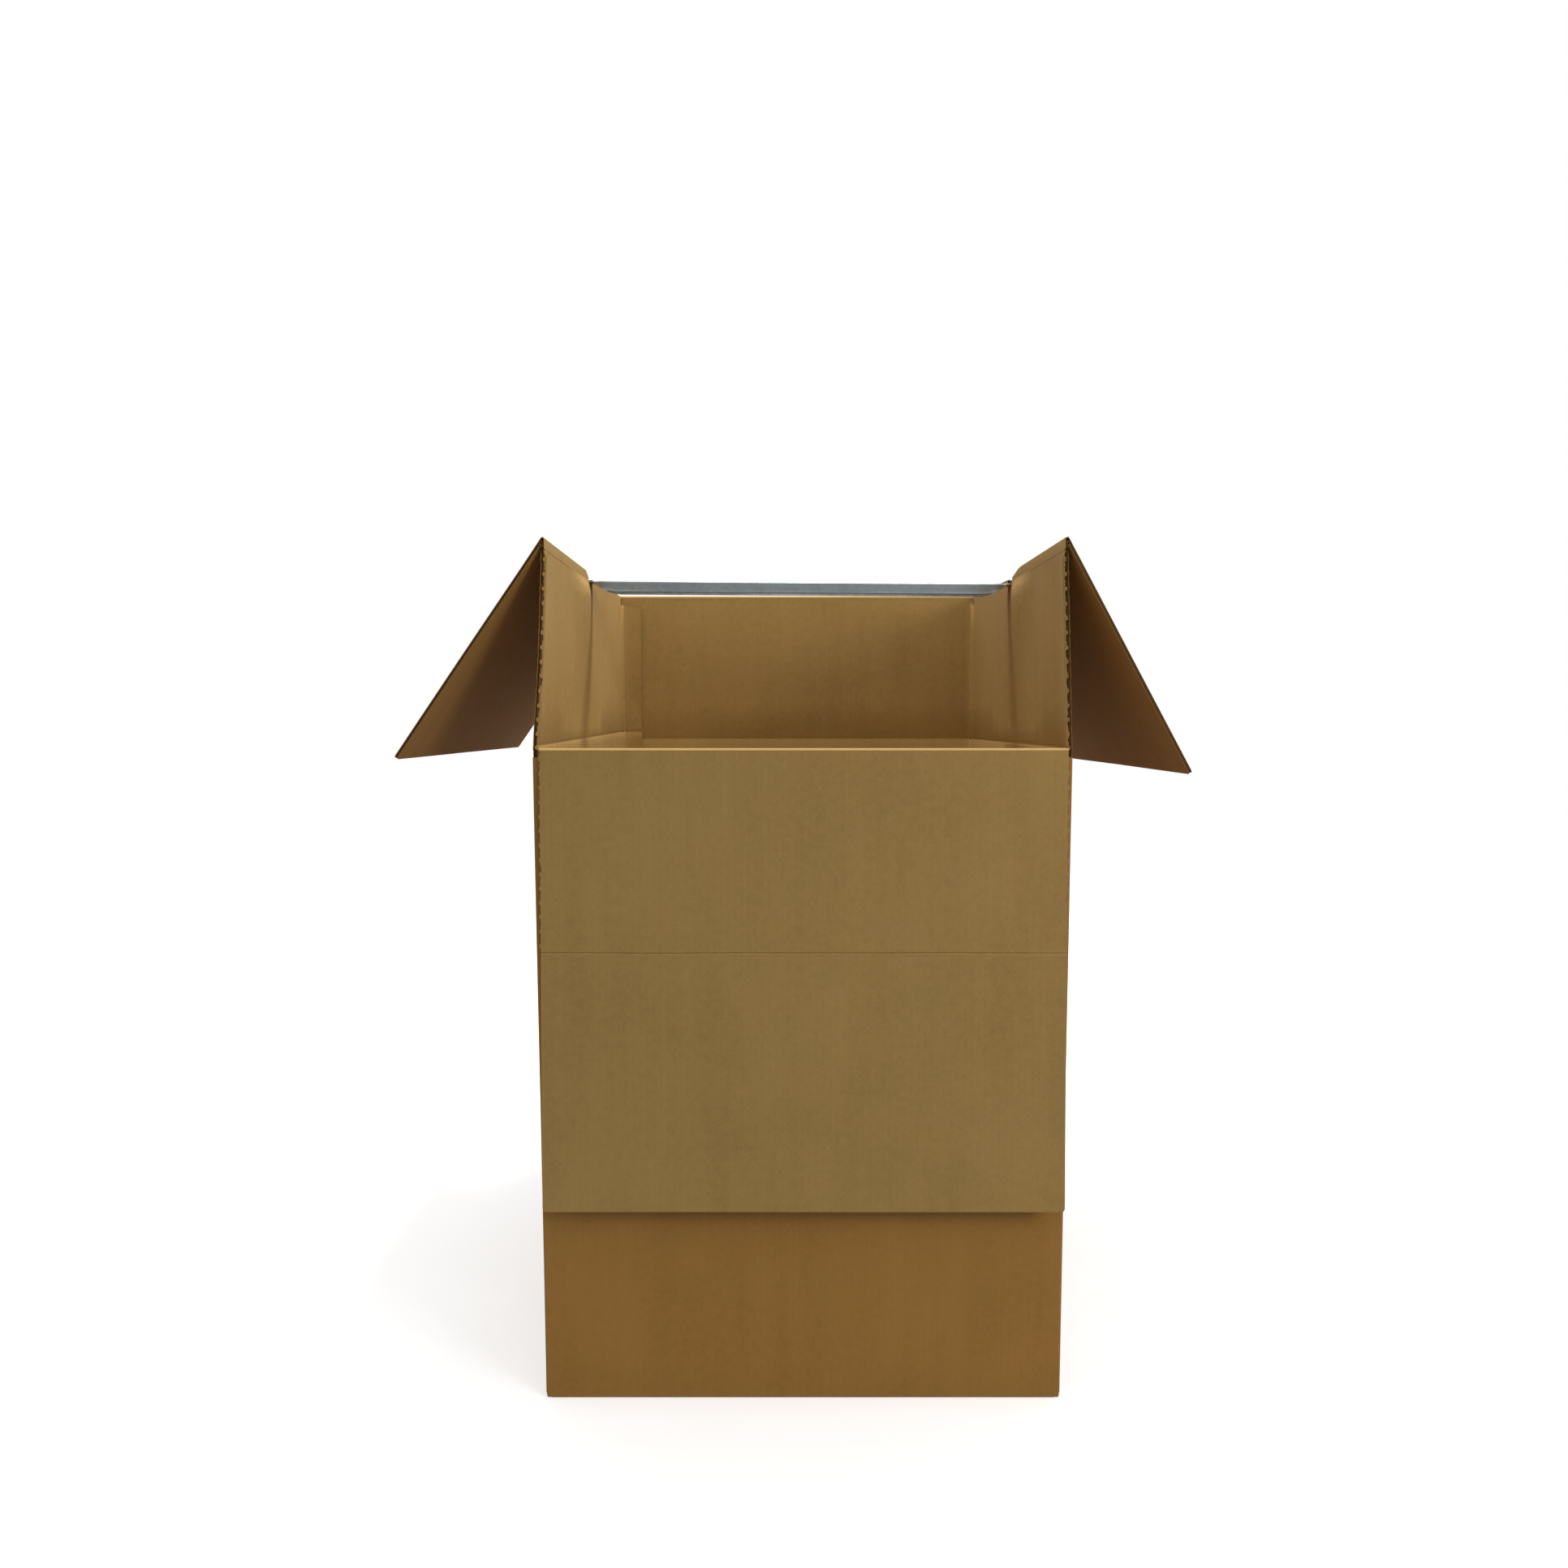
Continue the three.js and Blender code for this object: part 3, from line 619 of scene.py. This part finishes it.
def sheet_lines():
    """The net on the sheet, closer where the side walls bulge, and a set of lines at each fold."""
    bottom, top = -HALF_DEPTH, BACK_TOP
    lines = net((NET_LEFT, bottom), (SHEET_END, top), NET_COARSE)
    for fold in (0.0, FRONT_LEFT, FRONT_RIGHT, BACK_RIGHT):
        for k in range(-4, 5):
            u = fold + CORNER_RADIUS * k / 4
            lines.append(((u, NET_FOOT), (u, top)))
        for k in (-2, -1, -0.5, 0, 0.5, 1, 2):
            for side in (-1, 1):
                u = fold + side * (BEAD_PLACE + BEAD_HALF * k)
                lines.append(((u, NET_FOOT), (u, top)))
    for v in (BEAD_TOP - BEAD_FADE, BEAD_TOP):
        lines.append(((NET_LEFT, v), (SHEET_END, v)))
    for u in (FRONT_LEFT - FRAY_REACH, FRONT_RIGHT + FRAY_REACH):
        lines.append(((u, RELIEF), (u, top)))
    for first, last, floor in (
        (NET_LEFT, FRONT_LEFT, SIDE_FLOOR), (FRONT_LEFT, FRONT_RIGHT, 0.0),
        (FRONT_RIGHT, BACK_RIGHT, SIDE_FLOOR), (BACK_RIGHT, SHEET_END, 0.0),
    ):
        for k in range(-3, 4):
            v = floor + FOLD_RADIUS * k / 3
            lines.append(((first, v), (last, v)))
    for wall, first, last in (
        ("tab", NET_LEFT, 0.0), ("left", 0.0, FRONT_LEFT), ("right", FRONT_RIGHT, BACK_RIGHT),
        ("back", BACK_RIGHT, SHEET_END),
    ):
        for k in (-1, -0.5, 0, 0.5, 1):
            a = crease_height(wall, first + 1e-6) + CREASE_HALF * k
            b = crease_height(wall, last - 1e-6) + CREASE_HALF * k
            lines.append(((first, a), (last, b)))
    for middle, way in ((INSIDE, 1), (FRONT_RIGHT + HALF_DEPTH, -1)):
        ends = sorted((middle - way * RIDGE_FALL, middle + way * (RIDGE_RISE + RIDGE_OFFSET)))
        lines += net((ends[0], 0.80), (ends[1], top), NET_FINE)
    return lines


def carton_rows(u):
    """Heights at which the medium has points, by wall."""
    wall = wall_of(u)
    if wall == "tab":
        return [0.0, 0.4, 0.8, 1.0]
    floor = floor_of(wall)
    rows = [-HALF_DEPTH] + [floor + FOLD_RADIUS * k for k in (-1, -0.4, 0.4, 1)]
    if wall != "front":
        crease = crease_height(wall, u)
        rows += [crease - CREASE_HALF, crease, crease + CREASE_HALF]
    if wall in SIDES:
        rows += BULGE_ROWS
    return rows + [BACK_TOP]


def carton_crush(u, v):
    """How much of its height the medium keeps: the score lines press it flat."""
    wall = wall_of(u)
    keep = min(1.0, SCORED_LEAST + min(abs(u - c[0]) for c in CORNERS) / CORNER_CRUSH)
    floor = floor_of(wall)
    keep = min(keep, SCORED_LEAST + abs(v - floor) / FOLD_CRUSH)
    if wall != "front":
        keep = min(keep, CREASED_LEAST + abs(v - crease_height(wall, u)) / CORNER_CRUSH)
    return keep


def liners(outline_at, place, lines, spacing=PANEL_NET):
    """The outer and the inner liner of a piece of board, from its outline at a depth."""
    parts = []
    for depth, seed, near, far, material in (
        (0.0, 1, 0.0, LINER, OUTER), (BOARD, 2, BOARD - LINER, BOARD, INNER),
    ):
        points, triangles = cut_sheet(even_edge(outline_at(depth, seed), spacing), lines)
        parts.append(shell(points, triangles, place, near, far, material))
    return parts


carton_parts = liners(lambda depth, seed: blank(depth, seed, TEAR_STEP), on_carton, sheet_lines())
carton_parts.append(fluting(
    blank(BOARD / 2, 7, MEDIUM_TEAR_STEP), on_carton, carton_rows, carton_crush, inset=0.0009,
))
carton = make_piece("carton_sheet", carton_parts)
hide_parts("carton_body")
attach(carton, "carton")


# Front panel. It was torn out of the front along the perforations and hangs down outside from
# its fold, with its inner liner outwards. Its torn sides carry the other halves of the ties.
SCORE_HALF = BOARD
DOOR_SAG, FLAP_SAG = 0.0009, 0.0008
PANEL_TIE_OUT, PANEL_TIE_SHIFT = 0.0008, 0.009


def hinge_line(body):
    """A point on a joint's axis and the axis's direction."""
    joint = hinges[body]
    return Vector(joint["pos_m"]), Vector(joint["axis"]).normalized()


def at_hinge(body, inward, closed_depth):
    """A folded-out panel's pivot, axis, way out from the fold and way through the board, at rest.
    The panel is described closed, then turned back by the joint's upper limit."""
    pivot, axis = hinge_line(body)
    open_turn = Matrix.Rotation(-math.radians(hinges[body]["range_deg"][1]), 3, axis)
    out = open_turn @ Vector(inward)
    deep = open_turn @ Vector(closed_depth)
    return pivot, axis, out, deep


door_pivot, _, DOOR_DOWN, DOOR_DEEP = at_hinge("front_panel", (0, 0, 1), (0, 1, 0))
DOOR_LENGTH = SIDE_TOP + LAYER_GAP - DOOR_LINE
ACROSS = Vector((1, 0, 0))


def on_door(u, v, w):
    """u across from the middle, v down from the fold, w from the outer face, which lies behind."""
    sag = DOOR_SAG * noise.noise(Vector((u * 3.1, v * 4.0, 2.0)))
    return door_pivot + ACROSS * u + DOOR_DOWN * v + DOOR_DEEP * (FOLD_GAP + w + sag * smooth(v / 0.04))


def door_outline(depth, seed):
    top = FOLD_GAP
    bottom = DOOR_LENGTH - SCORE_HALF
    steps = int((bottom - top) / TEAR_STEP)
    right, left = [], []
    for i in range(steps + 1):
        v = top + (bottom - top) * i / steps
        u = DOOR_HALF + PANEL_TIE_OUT
        height = DOOR_LINE + v + PANEL_TIE_SHIFT
        right.append((u - torn(height, seed + 11), v))
        left.append((-u + torn(height, seed + 17), v))
    return right + left[::-1]


door_net = net((-DOOR_HALF, 0.0), (DOOR_HALF, DOOR_LENGTH), PANEL_NET)
door_parts = liners(door_outline, on_door, door_net)
medium_half, medium_end = DOOR_HALF - 0.003, DOOR_LENGTH - SCORE_HALF
door_parts.append(fluting(
    [(-medium_half, FOLD_GAP), (medium_half, FOLD_GAP),
     (medium_half, medium_end), (-medium_half, medium_end)],
    on_door, lambda u: [0.0, 0.02, 0.08, 0.14, 0.2, 1.0],
))
door = make_piece("front_panel_board", door_parts)
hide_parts("front_door")
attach(door, "front_panel")


# Front flap. The top flap of the front, still joined to the torn-out panel by its score, so it
# hangs straight on below it. Its free edge is die-cut, with rounded corners.
def rounded_outline(u0, u1, v0, v1, radius):
    """A flap's outline from its root at v0 to its free edge at v1, with two rounded corners."""
    turns = 5
    points = [(u0, v0), (u1, v0)]
    for centre, first in ((u1 - radius, 0), (u0 + radius, 90)):
        for i in range(turns + 1):
            angle = math.radians(first + 90 * i / turns)
            points.append((centre + radius * math.cos(angle), v1 - radius + radius * math.sin(angle)))
    return points


FLAP_RADIUS = 0.004
flap_low, flap_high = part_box("front_top_flap")
FLAP_HALF = flap_high.x
FLAP_START = DOOR_LENGTH + SCORE_HALF
FLAP_END = DOOR_LENGTH + (flap_high.z - flap_low.z) / abs(DOOR_DOWN.z) - 0.0005


def front_flap_outline(depth, seed):
    return rounded_outline(-FLAP_HALF, FLAP_HALF, FLAP_START, FLAP_END, FLAP_RADIUS)


front_flap_net = net((-FLAP_HALF, FLAP_START), (FLAP_HALF, FLAP_END), PANEL_NET)
front_flap_parts = liners(front_flap_outline, on_door, front_flap_net)
front_flap_parts.append(fluting(
    front_flap_outline(0, 0), on_door, lambda u: [0.0, 0.28, 0.35, 0.42, 0.49, 1.0], inset=0.0003,
))
front_flap = make_piece("front_flap_board", front_flap_parts)
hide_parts("front_top_flap")
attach(front_flap, "front_flap")


# Side flaps. They are folded out over the side walls and hang outside them, inner liner
# outwards. An opening at the root lets the rail's hook through.
def flap_place(body, inward):
    """Maps (along the fold, out from it, depth) to the rest place of a top flap."""
    pivot, axis, out, deep = at_hinge(body, inward, (0, 0, -1))

    def place(u, v, w):
        sag = FLAP_SAG * noise.noise(Vector((u * 3.3, v * 3.7, pivot.x * 9)))
        return pivot + axis * u + out * v + deep * (w + sag * smooth(v / 0.05))
    return place


NOTCH_REACH = 0.030
FREE_GAP = 0.003
ROUND_SHARE = 0.3


def side_inward(side, axis):
    """The level way in from a side flap's fold, square to it."""
    inward = Vector((-side, 0, 0))
    inward -= axis * inward.dot(axis)
    return inward.normalized()


def side_flap_outline(side, axis, pivot, inward):
    """The flap closed, in plan, measured along and away from its fold."""
    def local(x, y):
        offset = Vector((x, y, 0)) - Vector((pivot.x, pivot.y, 0))
        return offset.dot(axis), offset.dot(inward)
    half = INSIDE - FLAP_INSET
    free = side * FREE_GAP
    ends = sorted(local(free, y)[0] for y in (-half, half))
    reach = [local(free, half)[1], local(free, -half)[1]]
    if axis.y > 0:
        reach.reverse()
    radius = FLAP_RADIUS
    nearer = radius * ROUND_SHARE

    def outline(depth, seed):
        root = FOLD_GAP + depth
        return [
            (ends[0], root), (-NOTCH_HALF, root), (-NOTCH_HALF, NOTCH_REACH),
            (NOTCH_HALF, NOTCH_REACH), (NOTCH_HALF, root), (ends[1], root),
            (ends[1], reach[1] - radius), (ends[1] - nearer, reach[1] - nearer),
            (ends[1] - radius, reach[1]), (ends[0] + radius, reach[0]),
            (ends[0] + nearer, reach[0] - nearer), (ends[0], reach[0] - radius),
        ]
    return outline


FLAP_ROWS = [0.0, 0.02, 0.06, 0.11, 0.16, 0.21, 0.26, 1.0]
SIDE_FLAPS = (("left_flap", -1), ("right_flap", 1))
SIDE_NET = 0.31
side_outlines = {}
for body, side in SIDE_FLAPS:
    pivot, axis = hinge_line(body)
    inward = side_inward(side, axis)
    place = flap_place(body, inward)
    outline = side_flap_outline(side, axis, pivot, inward)
    side_outlines[body] = outline
    edge = max(p[1] for p in outline(0, 0))
    parts = liners(outline, place, net((-SIDE_NET, 0.0), (SIDE_NET, edge), PANEL_NET))
    parts.append(fluting(outline(BOARD / 2, 0), place, lambda u: FLAP_ROWS, inset=0.0003))
    flap = make_piece(body + "_board", parts)
    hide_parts("left_top_flap" if side < 0 else "right_top_flap")
    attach(flap, body)


# Back flap. It is folded out over the back wall and hangs behind it.
back_place = flap_place("back_flap", (0, -1, 0))
BACK_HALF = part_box("back_top_flap")[1].x
BACK_REACH = HALF_DEPTH - FREE_GAP


def back_outline(depth, seed):
    return rounded_outline(-BACK_HALF, BACK_HALF, FOLD_GAP + depth, BACK_REACH, FLAP_RADIUS)


back_net = net((-BACK_HALF, 0.0), (BACK_HALF, BACK_REACH), PANEL_NET)
back_parts = liners(back_outline, back_place, back_net)
back_parts.append(fluting(back_outline(BOARD / 2, 0), back_place, lambda u: FLAP_ROWS, inset=0.0003))
back_flap = make_piece("back_flap_board", back_parts)
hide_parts("back_top_flap")
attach(back_flap, "back_flap")


# Folds. Where a panel is folded out, the scored board bends round its outer face: the outer liner
# is pinched at the bottom of the fold, the medium is crushed and the inner liner runs over it.
FOLD_SEGMENTS = 14
PRESS_LEAST, PRESS_REAR, REAR_LAP = 0.08, 0.25, 0.006
PRESS_FRONT = {"left_flap": 0.005, "right_flap": 0.045}
SIDE_PEAK, BACK_PEAK, FRONT_CRUSH = 2.3, 1.25, 0.42
MEDIUM_FROM, MEDIUM_TO = 0.42, 0.5


def pressed(along, front):
    """How much of a side fold's crest is left beside the rail, which presses it down. Positive is
    behind the rail."""
    share = (abs(along) - NOTCH_HALF) / (PRESS_REAR if along > 0 else front)
    return PRESS_LEAST + (1 - PRESS_LEAST) * min(max(share, 0.0), 1.0)


def fold_profile(depth, end_turn, mitre, offset, crush, peak):
    """The path of one depth of the board over a fold, as (in, up) from the axis, from wall to panel.
    The two sides run on towards a sharp mitre, but the crest stands no further out than peak times
    a round bend's radius, and crush squeezes it flat."""
    radius = depth + offset
    path = []
    legs = 3 if mitre else 1
    for i in range(legs):
        path.append((radius, -(FOLD_GAP + mitre * depth) * (1 - i / legs)))
    for i in range(FOLD_SEGMENTS + 1):
        share = i / FOLD_SEGMENTS
        squeezed = radius * (1 - crush * math.sin(math.pi * share)) + 0.00008
        angle = end_turn * share
        squeezed *= min(1 / max(math.cos(min(angle, end_turn - angle)), 0.01), peak)
        path.append((squeezed * math.cos(angle), squeezed * math.sin(angle)))
    for i in range(1, legs + 1):
        out = (FOLD_GAP + mitre * depth) * i / legs
        across, up = math.cos(end_turn), math.sin(end_turn)
        path.append((radius * across - out * up, radius * up + out * across))
    return path


def fold_band(profile_in, profile_out, place, stretches, material, spacing=0.02):
    """A closed strip of paper along a fold, between two profiles, for each stretch of the fold."""
    parts = []
    run = [0.0]
    for a, b in zip(profile_out, profile_out[1:]):
        run.append(run[-1] + math.dist(a, b))
    for first, last in stretches:
        count = max(1, round((last - first) / spacing))
        ring = list(zip(profile_out, run))
        ring += zip(reversed(profile_in), reversed(run))
        vertices, uvs, faces = [], [], []
        for i in range(count + 1):
            u = first + (last - first) * i / count
            vertices += [place(u, p) for p, r in ring]
            uvs += [(u, r) for p, r in ring]
        size = len(ring)
        for i in range(count):
            for k in range(size):
                a, b = i * size + k, i * size + (k + 1) % size
                faces.append([a, b, b + size, a + size])
        half = size // 2
        for k in range(half - 1):
            for row, flip in ((0, True), (count, False)):
                quad = [row * size + j for j in (k, k + 1, size - 2 - k, size - 1 - k)]
                faces.append(quad[::-1] if flip else quad)
        turned_out(vertices, faces)
        parts.append((vertices, faces, uvs, material))
    return parts


def build_fold(
    body, inward, stretches, closed_angle=90, mitre=1.0, offset=0.0, crush=0.0, peak=1.0,
    crest=lambda u: 1.0,
):
    """The three layers of paper over one fold, between the carton and the folded panel at rest.
    closed_angle is the angle that the closed panel makes with its wall."""
    pivot, axis = hinge_line(body)
    inward = Vector(inward)
    up = Vector((0, 0, 1))
    end_turn = math.radians(hinges[body]["range_deg"][1] - closed_angle)

    def place(u, point):
        rise = point[1] * crest(u) if point[1] > 0 else point[1]
        return pivot + axis * u + inward * point[0] + up * rise

    def profile(depth):
        return fold_profile(depth, end_turn, mitre, offset, crush, peak)
    parts = []
    for near, far, material in (
        (0.0, LINER, OUTER), (BOARD * MEDIUM_FROM, BOARD * MEDIUM_TO, MEDIUM),
        (BOARD - LINER, BOARD, INNER),
    ):
        parts += fold_band(profile(near), profile(far), place, stretches, material)
    fold = make_piece(body + "_fold", parts)
    path = profile(BOARD)
    place(0, path[0])
    place(0, path[-1])
    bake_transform(fold)


for body, side in SIDE_FLAPS:
    axis = hinge_line(body)[1]
    ends = [p[0] for p in side_outlines[body](0, 0)]
    low_end, high_end = min(ends), max(ends)
    if axis.y > 0:
        high_end += REAR_LAP
    else:
        low_end -= REAR_LAP
    build_fold(
        body, side_inward(side, axis), ((low_end, -NOTCH_HALF), (NOTCH_HALF, high_end)),
        peak=SIDE_PEAK, crest=lambda u, axis=axis, body=body: pressed(u * axis.y, PRESS_FRONT[body]),
    )
build_fold(
    "back_flap", (0, -1, 0), ((-BACK_HALF - REAR_LAP, BACK_HALF + REAR_LAP),), peak=BACK_PEAK,
)
build_fold(
    "front_panel", (0, 1, 0), ((-DOOR_HALF, DOOR_HALF),),
    closed_angle=0, mitre=0.0, offset=FOLD_GAP, crush=FRONT_CRUSH,
)


# Score between the front panel and its flap. The inner liner is pressed in along a narrow line
# that wanders a little, where the flap will fold in over the top.
SCORE_DEPTH, SCORE_LINE_SHARE, SCORE_STEPS, SCORE_WANDER = 0.0009, 0.25, 20, 0.0009


def build_score():
    parts = []
    for near, far, material in ((0.0, LINER, OUTER), (BOARD - LINER, BOARD, INNER)):
        path_near, path_far = [], []
        for i in range(SCORE_STEPS + 1):
            share = -1 + 2 * i / SCORE_STEPS
            dent = SCORE_DEPTH * max(0.0, 1 - abs(share) / SCORE_LINE_SHARE) * (material == INNER)
            v = DOOR_LENGTH + SCORE_HALF * share
            path_near.append((v, near - dent))
            path_far.append((v, far - dent))

        def place(u, point):
            wave = SCORE_WANDER * noise.noise(Vector((u * 9.0, 3.0, 1.0)))
            lean = 1 - abs(point[0] - DOOR_LENGTH) / SCORE_HALF
            return on_door(u, point[0] + wave * lean, point[1])
        parts += fold_band(path_near, path_far, place, ((-FLAP_HALF, FLAP_HALF),), material, 0.012)
    score = make_piece("front_flap_score", parts)
    on_door(0, DOOR_LENGTH - SCORE_HALF, BOARD)
    on_door(0, DOOR_LENGTH + SCORE_HALF, BOARD)
    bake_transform(score)


build_score()


# Rail. A light channel roll-formed from galvanised strip, open below, with flared lower edges.
# Its sides sweep up at the ends, and its top runs on over each side wall and hooks down outside.
def galvanised_steel():
    material = bpy.data.materials.new("galvanised_steel")
    material.use_nodes = True
    t = Tree(material.node_tree)
    shader = material.node_tree.nodes["Principled BSDF"]
    place = t.add("ShaderNodeTexCoord").outputs["Object"]
    spangle = t.add("ShaderNodeTexVoronoi", {"Vector": place, "Scale": 160.0}).outputs["Color"]
    cell = t.add("ShaderNodeSeparateColor", {0: spangle}).outputs[0]
    drawn = t.noise(t.vector("MULTIPLY", place, (9.0, 900.0, 900.0)), 1.0, 3.0)
    cloud = t.noise(place, 14.0, 4.0)
    tone = t.math("ADD", t.ramp(cell, 0.0, 1.0, -0.12, 0.12), t.ramp(cloud, 0.3, 0.7, -0.22, 0.22))
    tone = t.math("ADD", t.math("ADD", tone, t.ramp(drawn, 0.3, 0.7, -0.12, 0.12)), 0.5, clamp=True)
    t.feed(shader.inputs["Base Color"], t.mix(tone, colour(127, 135, 139), colour(175, 181, 181)))
    t.feed(shader.inputs["Roughness"], t.ramp(tone, 0.0, 1.0, 0.5, 0.32))
    shader.inputs["Metallic"].default_value = 1.0
    height = t.math("ADD", t.math("MULTIPLY", drawn, 0.4), cell)
    bump = t.add("ShaderNodeBump", {"Height": height, "Strength": 0.12, "Distance": 0.0002})
    t.feed(shader.inputs["Normal"], bump.outputs[0])
    return material


RAIL_HALF, RAIL_HEIGHT, RAIL_GAUGE, RAIL_BEND = 0.019, 0.015, 0.001, 0.0025
LIP_HEIGHT, LIP_FLARE, LIP_CURVE, LIP_FULL_LEG = 0.004, 0.0006, 1.6, 0.008
SWEEP_START, SWEEP_END, SWEEP_POWER, NARROW_FROM = 0.256, 0.294, 0.75, 0.55
HOOK_HALF, HOOK_LENGTH, HOOK_BEND, HOOK_GAP = 0.015, 0.022, 0.0006, 0.0004
RAIL_TOP, RAIL_DROP = 1.0054, 0.002


def rail_section(height, half):
    """Half of the channel's section from the middle of its top, as (across, down) of its mid-line."""
    points = [(half * i / 4, 0.0) for i in range(4)]
    bend = min(RAIL_BEND, height / 2)
    for i in range(7):
        angle = math.radians(15 * i)
        points.append((half - bend + bend * math.sin(angle), bend - bend * math.cos(angle)))
    leg = max(height - bend, 0.0)
    full = min(1.0, leg / LIP_FULL_LEG)
    lip, flare = LIP_HEIGHT * full, LIP_FLARE * full
    for i in range(1, 5):
        points.append((half, bend + (leg - lip) * i / 4))
    for i in range(1, 5):
        share = i / 4
        points.append((half + flare * share ** LIP_CURVE, height - lip * (1 - share)))
    return points


def rail_stations(inner):
    """Places along one half of the rail: (x, z, slope, leg height, half width)."""
    stations = []
    for i in range(10):
        stations.append((SWEEP_START * i / 10, 0.0, 0.0, RAIL_HEIGHT, RAIL_HALF))
    for i in range(17):
        share = i / 16
        x = SWEEP_START + (SWEEP_END - SWEEP_START) * share
        height = RAIL_HEIGHT * max(0.0, 1 - share ** 2) ** SWEEP_POWER
        half = RAIL_HALF + (HOOK_HALF - RAIL_HALF) * smooth((share - NARROW_FROM) / (1 - NARROW_FROM))
        stations.append((x, 0.0, 0.0, max(height, RAIL_GAUGE), half))
    bend = HOOK_BEND + RAIL_GAUGE
    centre = inner - HOOK_BEND
    for i in range(1, 9):
        angle = math.radians(90) * i / 8
        stations.append((
            centre + bend * math.sin(angle), bend * math.cos(angle) - bend, angle, RAIL_GAUGE, HOOK_HALF,
        ))
    for i in range(1, 4):
        drop = -bend - (HOOK_LENGTH - bend) * i / 3
        stations.append((centre + bend, drop, math.radians(90), RAIL_GAUGE, HOOK_HALF))
    return stations


def build_rail():
    rows = []
    for side, wall in ((-1, "left"), (1, "right")):
        inner = HALF_WIDTH - wall_lean(LEAN[wall], HOOK_HALF) + HOOK_GAP
        rows.append([
            (side * x, z, side * slope, height, half)
            for x, z, slope, height, half in rail_stations(inner)
        ])
    stations = rows[0][::-1] + rows[1][1:]
    vertices, uvs = [], []
    run, previous = 0.0, stations[0][:2]
    tilt = Matrix.Rotation(math.asin(RAIL_DROP / INSIDE), 3, "Y")
    for x, z, slope, height, half in stations:
        section = rail_section(height, half)
        whole = [(-a, d) for a, d in reversed(section[1:])] + section
        run += math.dist(previous, (x, z))
        previous = (x, z)
        normals = []
        for k in range(len(whole)):
            a, b = whole[max(k - 1, 0)], whole[min(k + 1, len(whole) - 1)]
            length = max(math.dist(a, b), 1e-9)
            normals.append(((b[1] - a[1]) / length, -(b[0] - a[0]) / length))
        for layer in (0.0, RAIL_GAUGE):
            for (across, down), (na, nd) in zip(whole, normals):
                a, d = across - na * layer, down - nd * layer
                local = Vector((x - d * math.sin(slope), a, z - d * math.cos(slope)))
                vertices.append(tilt @ local + Vector((0, 0, RAIL_TOP)))
                uvs.append((run, across))
    ring = len(whole)
    last, end = ring - 1, len(stations) - 1
    faces = []

    def at(i, layer, k):
        return (2 * i + layer) * ring + k
    for i in range(end):
        for k in range(last):
            faces.append([at(i, 0, k), at(i + 1, 0, k), at(i + 1, 0, k + 1), at(i, 0, k + 1)])
            faces.append([at(i, 1, k), at(i, 1, k + 1), at(i + 1, 1, k + 1), at(i + 1, 1, k)])
        faces.append([at(i, 0, 0), at(i, 1, 0), at(i + 1, 1, 0), at(i + 1, 0, 0)])
        faces.append([at(i, 0, last), at(i + 1, 0, last), at(i + 1, 1, last), at(i, 1, last)])
    for k in range(last):
        faces.append([at(0, 0, k), at(0, 0, k + 1), at(0, 1, k + 1), at(0, 1, k)])
        faces.append([at(end, 0, k), at(end, 1, k), at(end, 1, k + 1), at(end, 0, k + 1)])
    turned_out(vertices, faces)
    piece = make_piece("hanger_rail", [(vertices, faces, uvs, 0)], [galvanised_steel()], 40)
    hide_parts("hanger_bar")
    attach(piece, "carton")


build_rail()


# Floor and light. The background and the floor are white, as in the photograph. Most of the light
# comes from above, like ceiling lamps, so the hanging flaps are dark underneath.
def stage_floor():
    size = 6.0
    mesh = bpy.data.meshes.new("floor")
    corners = [(-size, -size, 0), (size, -size, 0), (size, size, 0), (-size, size, 0)]
    mesh.from_pydata(corners, [], [(0, 1, 2, 3)])
    material = bpy.data.materials.new("white_floor")
    material.use_nodes = True
    shader = material.node_tree.nodes["Principled BSDF"]
    shader.inputs["Base Color"].default_value = (0.9, 0.9, 0.9, 1.0)
    shader.inputs["Roughness"].default_value = 0.9
    shader.inputs["Emission Color"].default_value = (1.0, 1.0, 1.0, 1.0)
    shader.inputs["Emission Strength"].default_value = 0.45
    mesh.materials.append(material)
    floor = bpy.data.objects.new("floor", mesh)
    bpy.context.scene.collection.objects.link(floor)
    floor.visible_diffuse = False


stage_floor()


def area_light(name, place, target, size, watts):
    light = bpy.data.lights.new(name, "AREA")
    light.shape = "RECTANGLE"
    light.size, light.size_y = size
    light.energy = watts
    lamp = bpy.data.objects.new(name, light)
    lamp.location = place
    lamp.rotation_euler = (Vector(target) - Vector(place)).to_track_quat("-Z", "Y").to_euler()
    bpy.context.scene.collection.objects.link(lamp)


area_light("ceiling", place=(0.12, 0.26, 2.85), target=(0.0, 0.0, 0.0), size=(0.4, 0.4), watts=58)
area_light("front_right", place=(1.7, -1.7, 1.45), target=(0.1, -0.3, 0.7), size=(0.8, 0.8), watts=15)


def white_surround():
    """White to the camera, and for the light a dim room that is brighter towards its ceiling."""
    world = bpy.data.worlds.new("white_surround")
    bpy.context.scene.world = world
    world.use_nodes = True
    t = Tree(world.node_tree)
    direction = t.add("ShaderNodeTexCoord").outputs["Generated"]
    up = t.add("ShaderNodeSeparateXYZ", {0: direction}).outputs[2]
    room = t.math("ADD", t.ramp(up, -0.3, 0.1, 0.12, 0.36), t.ramp(up, 0.1, 1.0, 0.0, 0.6))
    seen = t.add("ShaderNodeLightPath").outputs["Is Camera Ray"]
    sky = world.node_tree.nodes["Background"]
    t.feed(sky.inputs["Strength"], t.math("MAXIMUM", room, seen))
    sky.inputs["Color"].default_value = (1.0, 1.0, 1.0, 1.0)


white_surround()
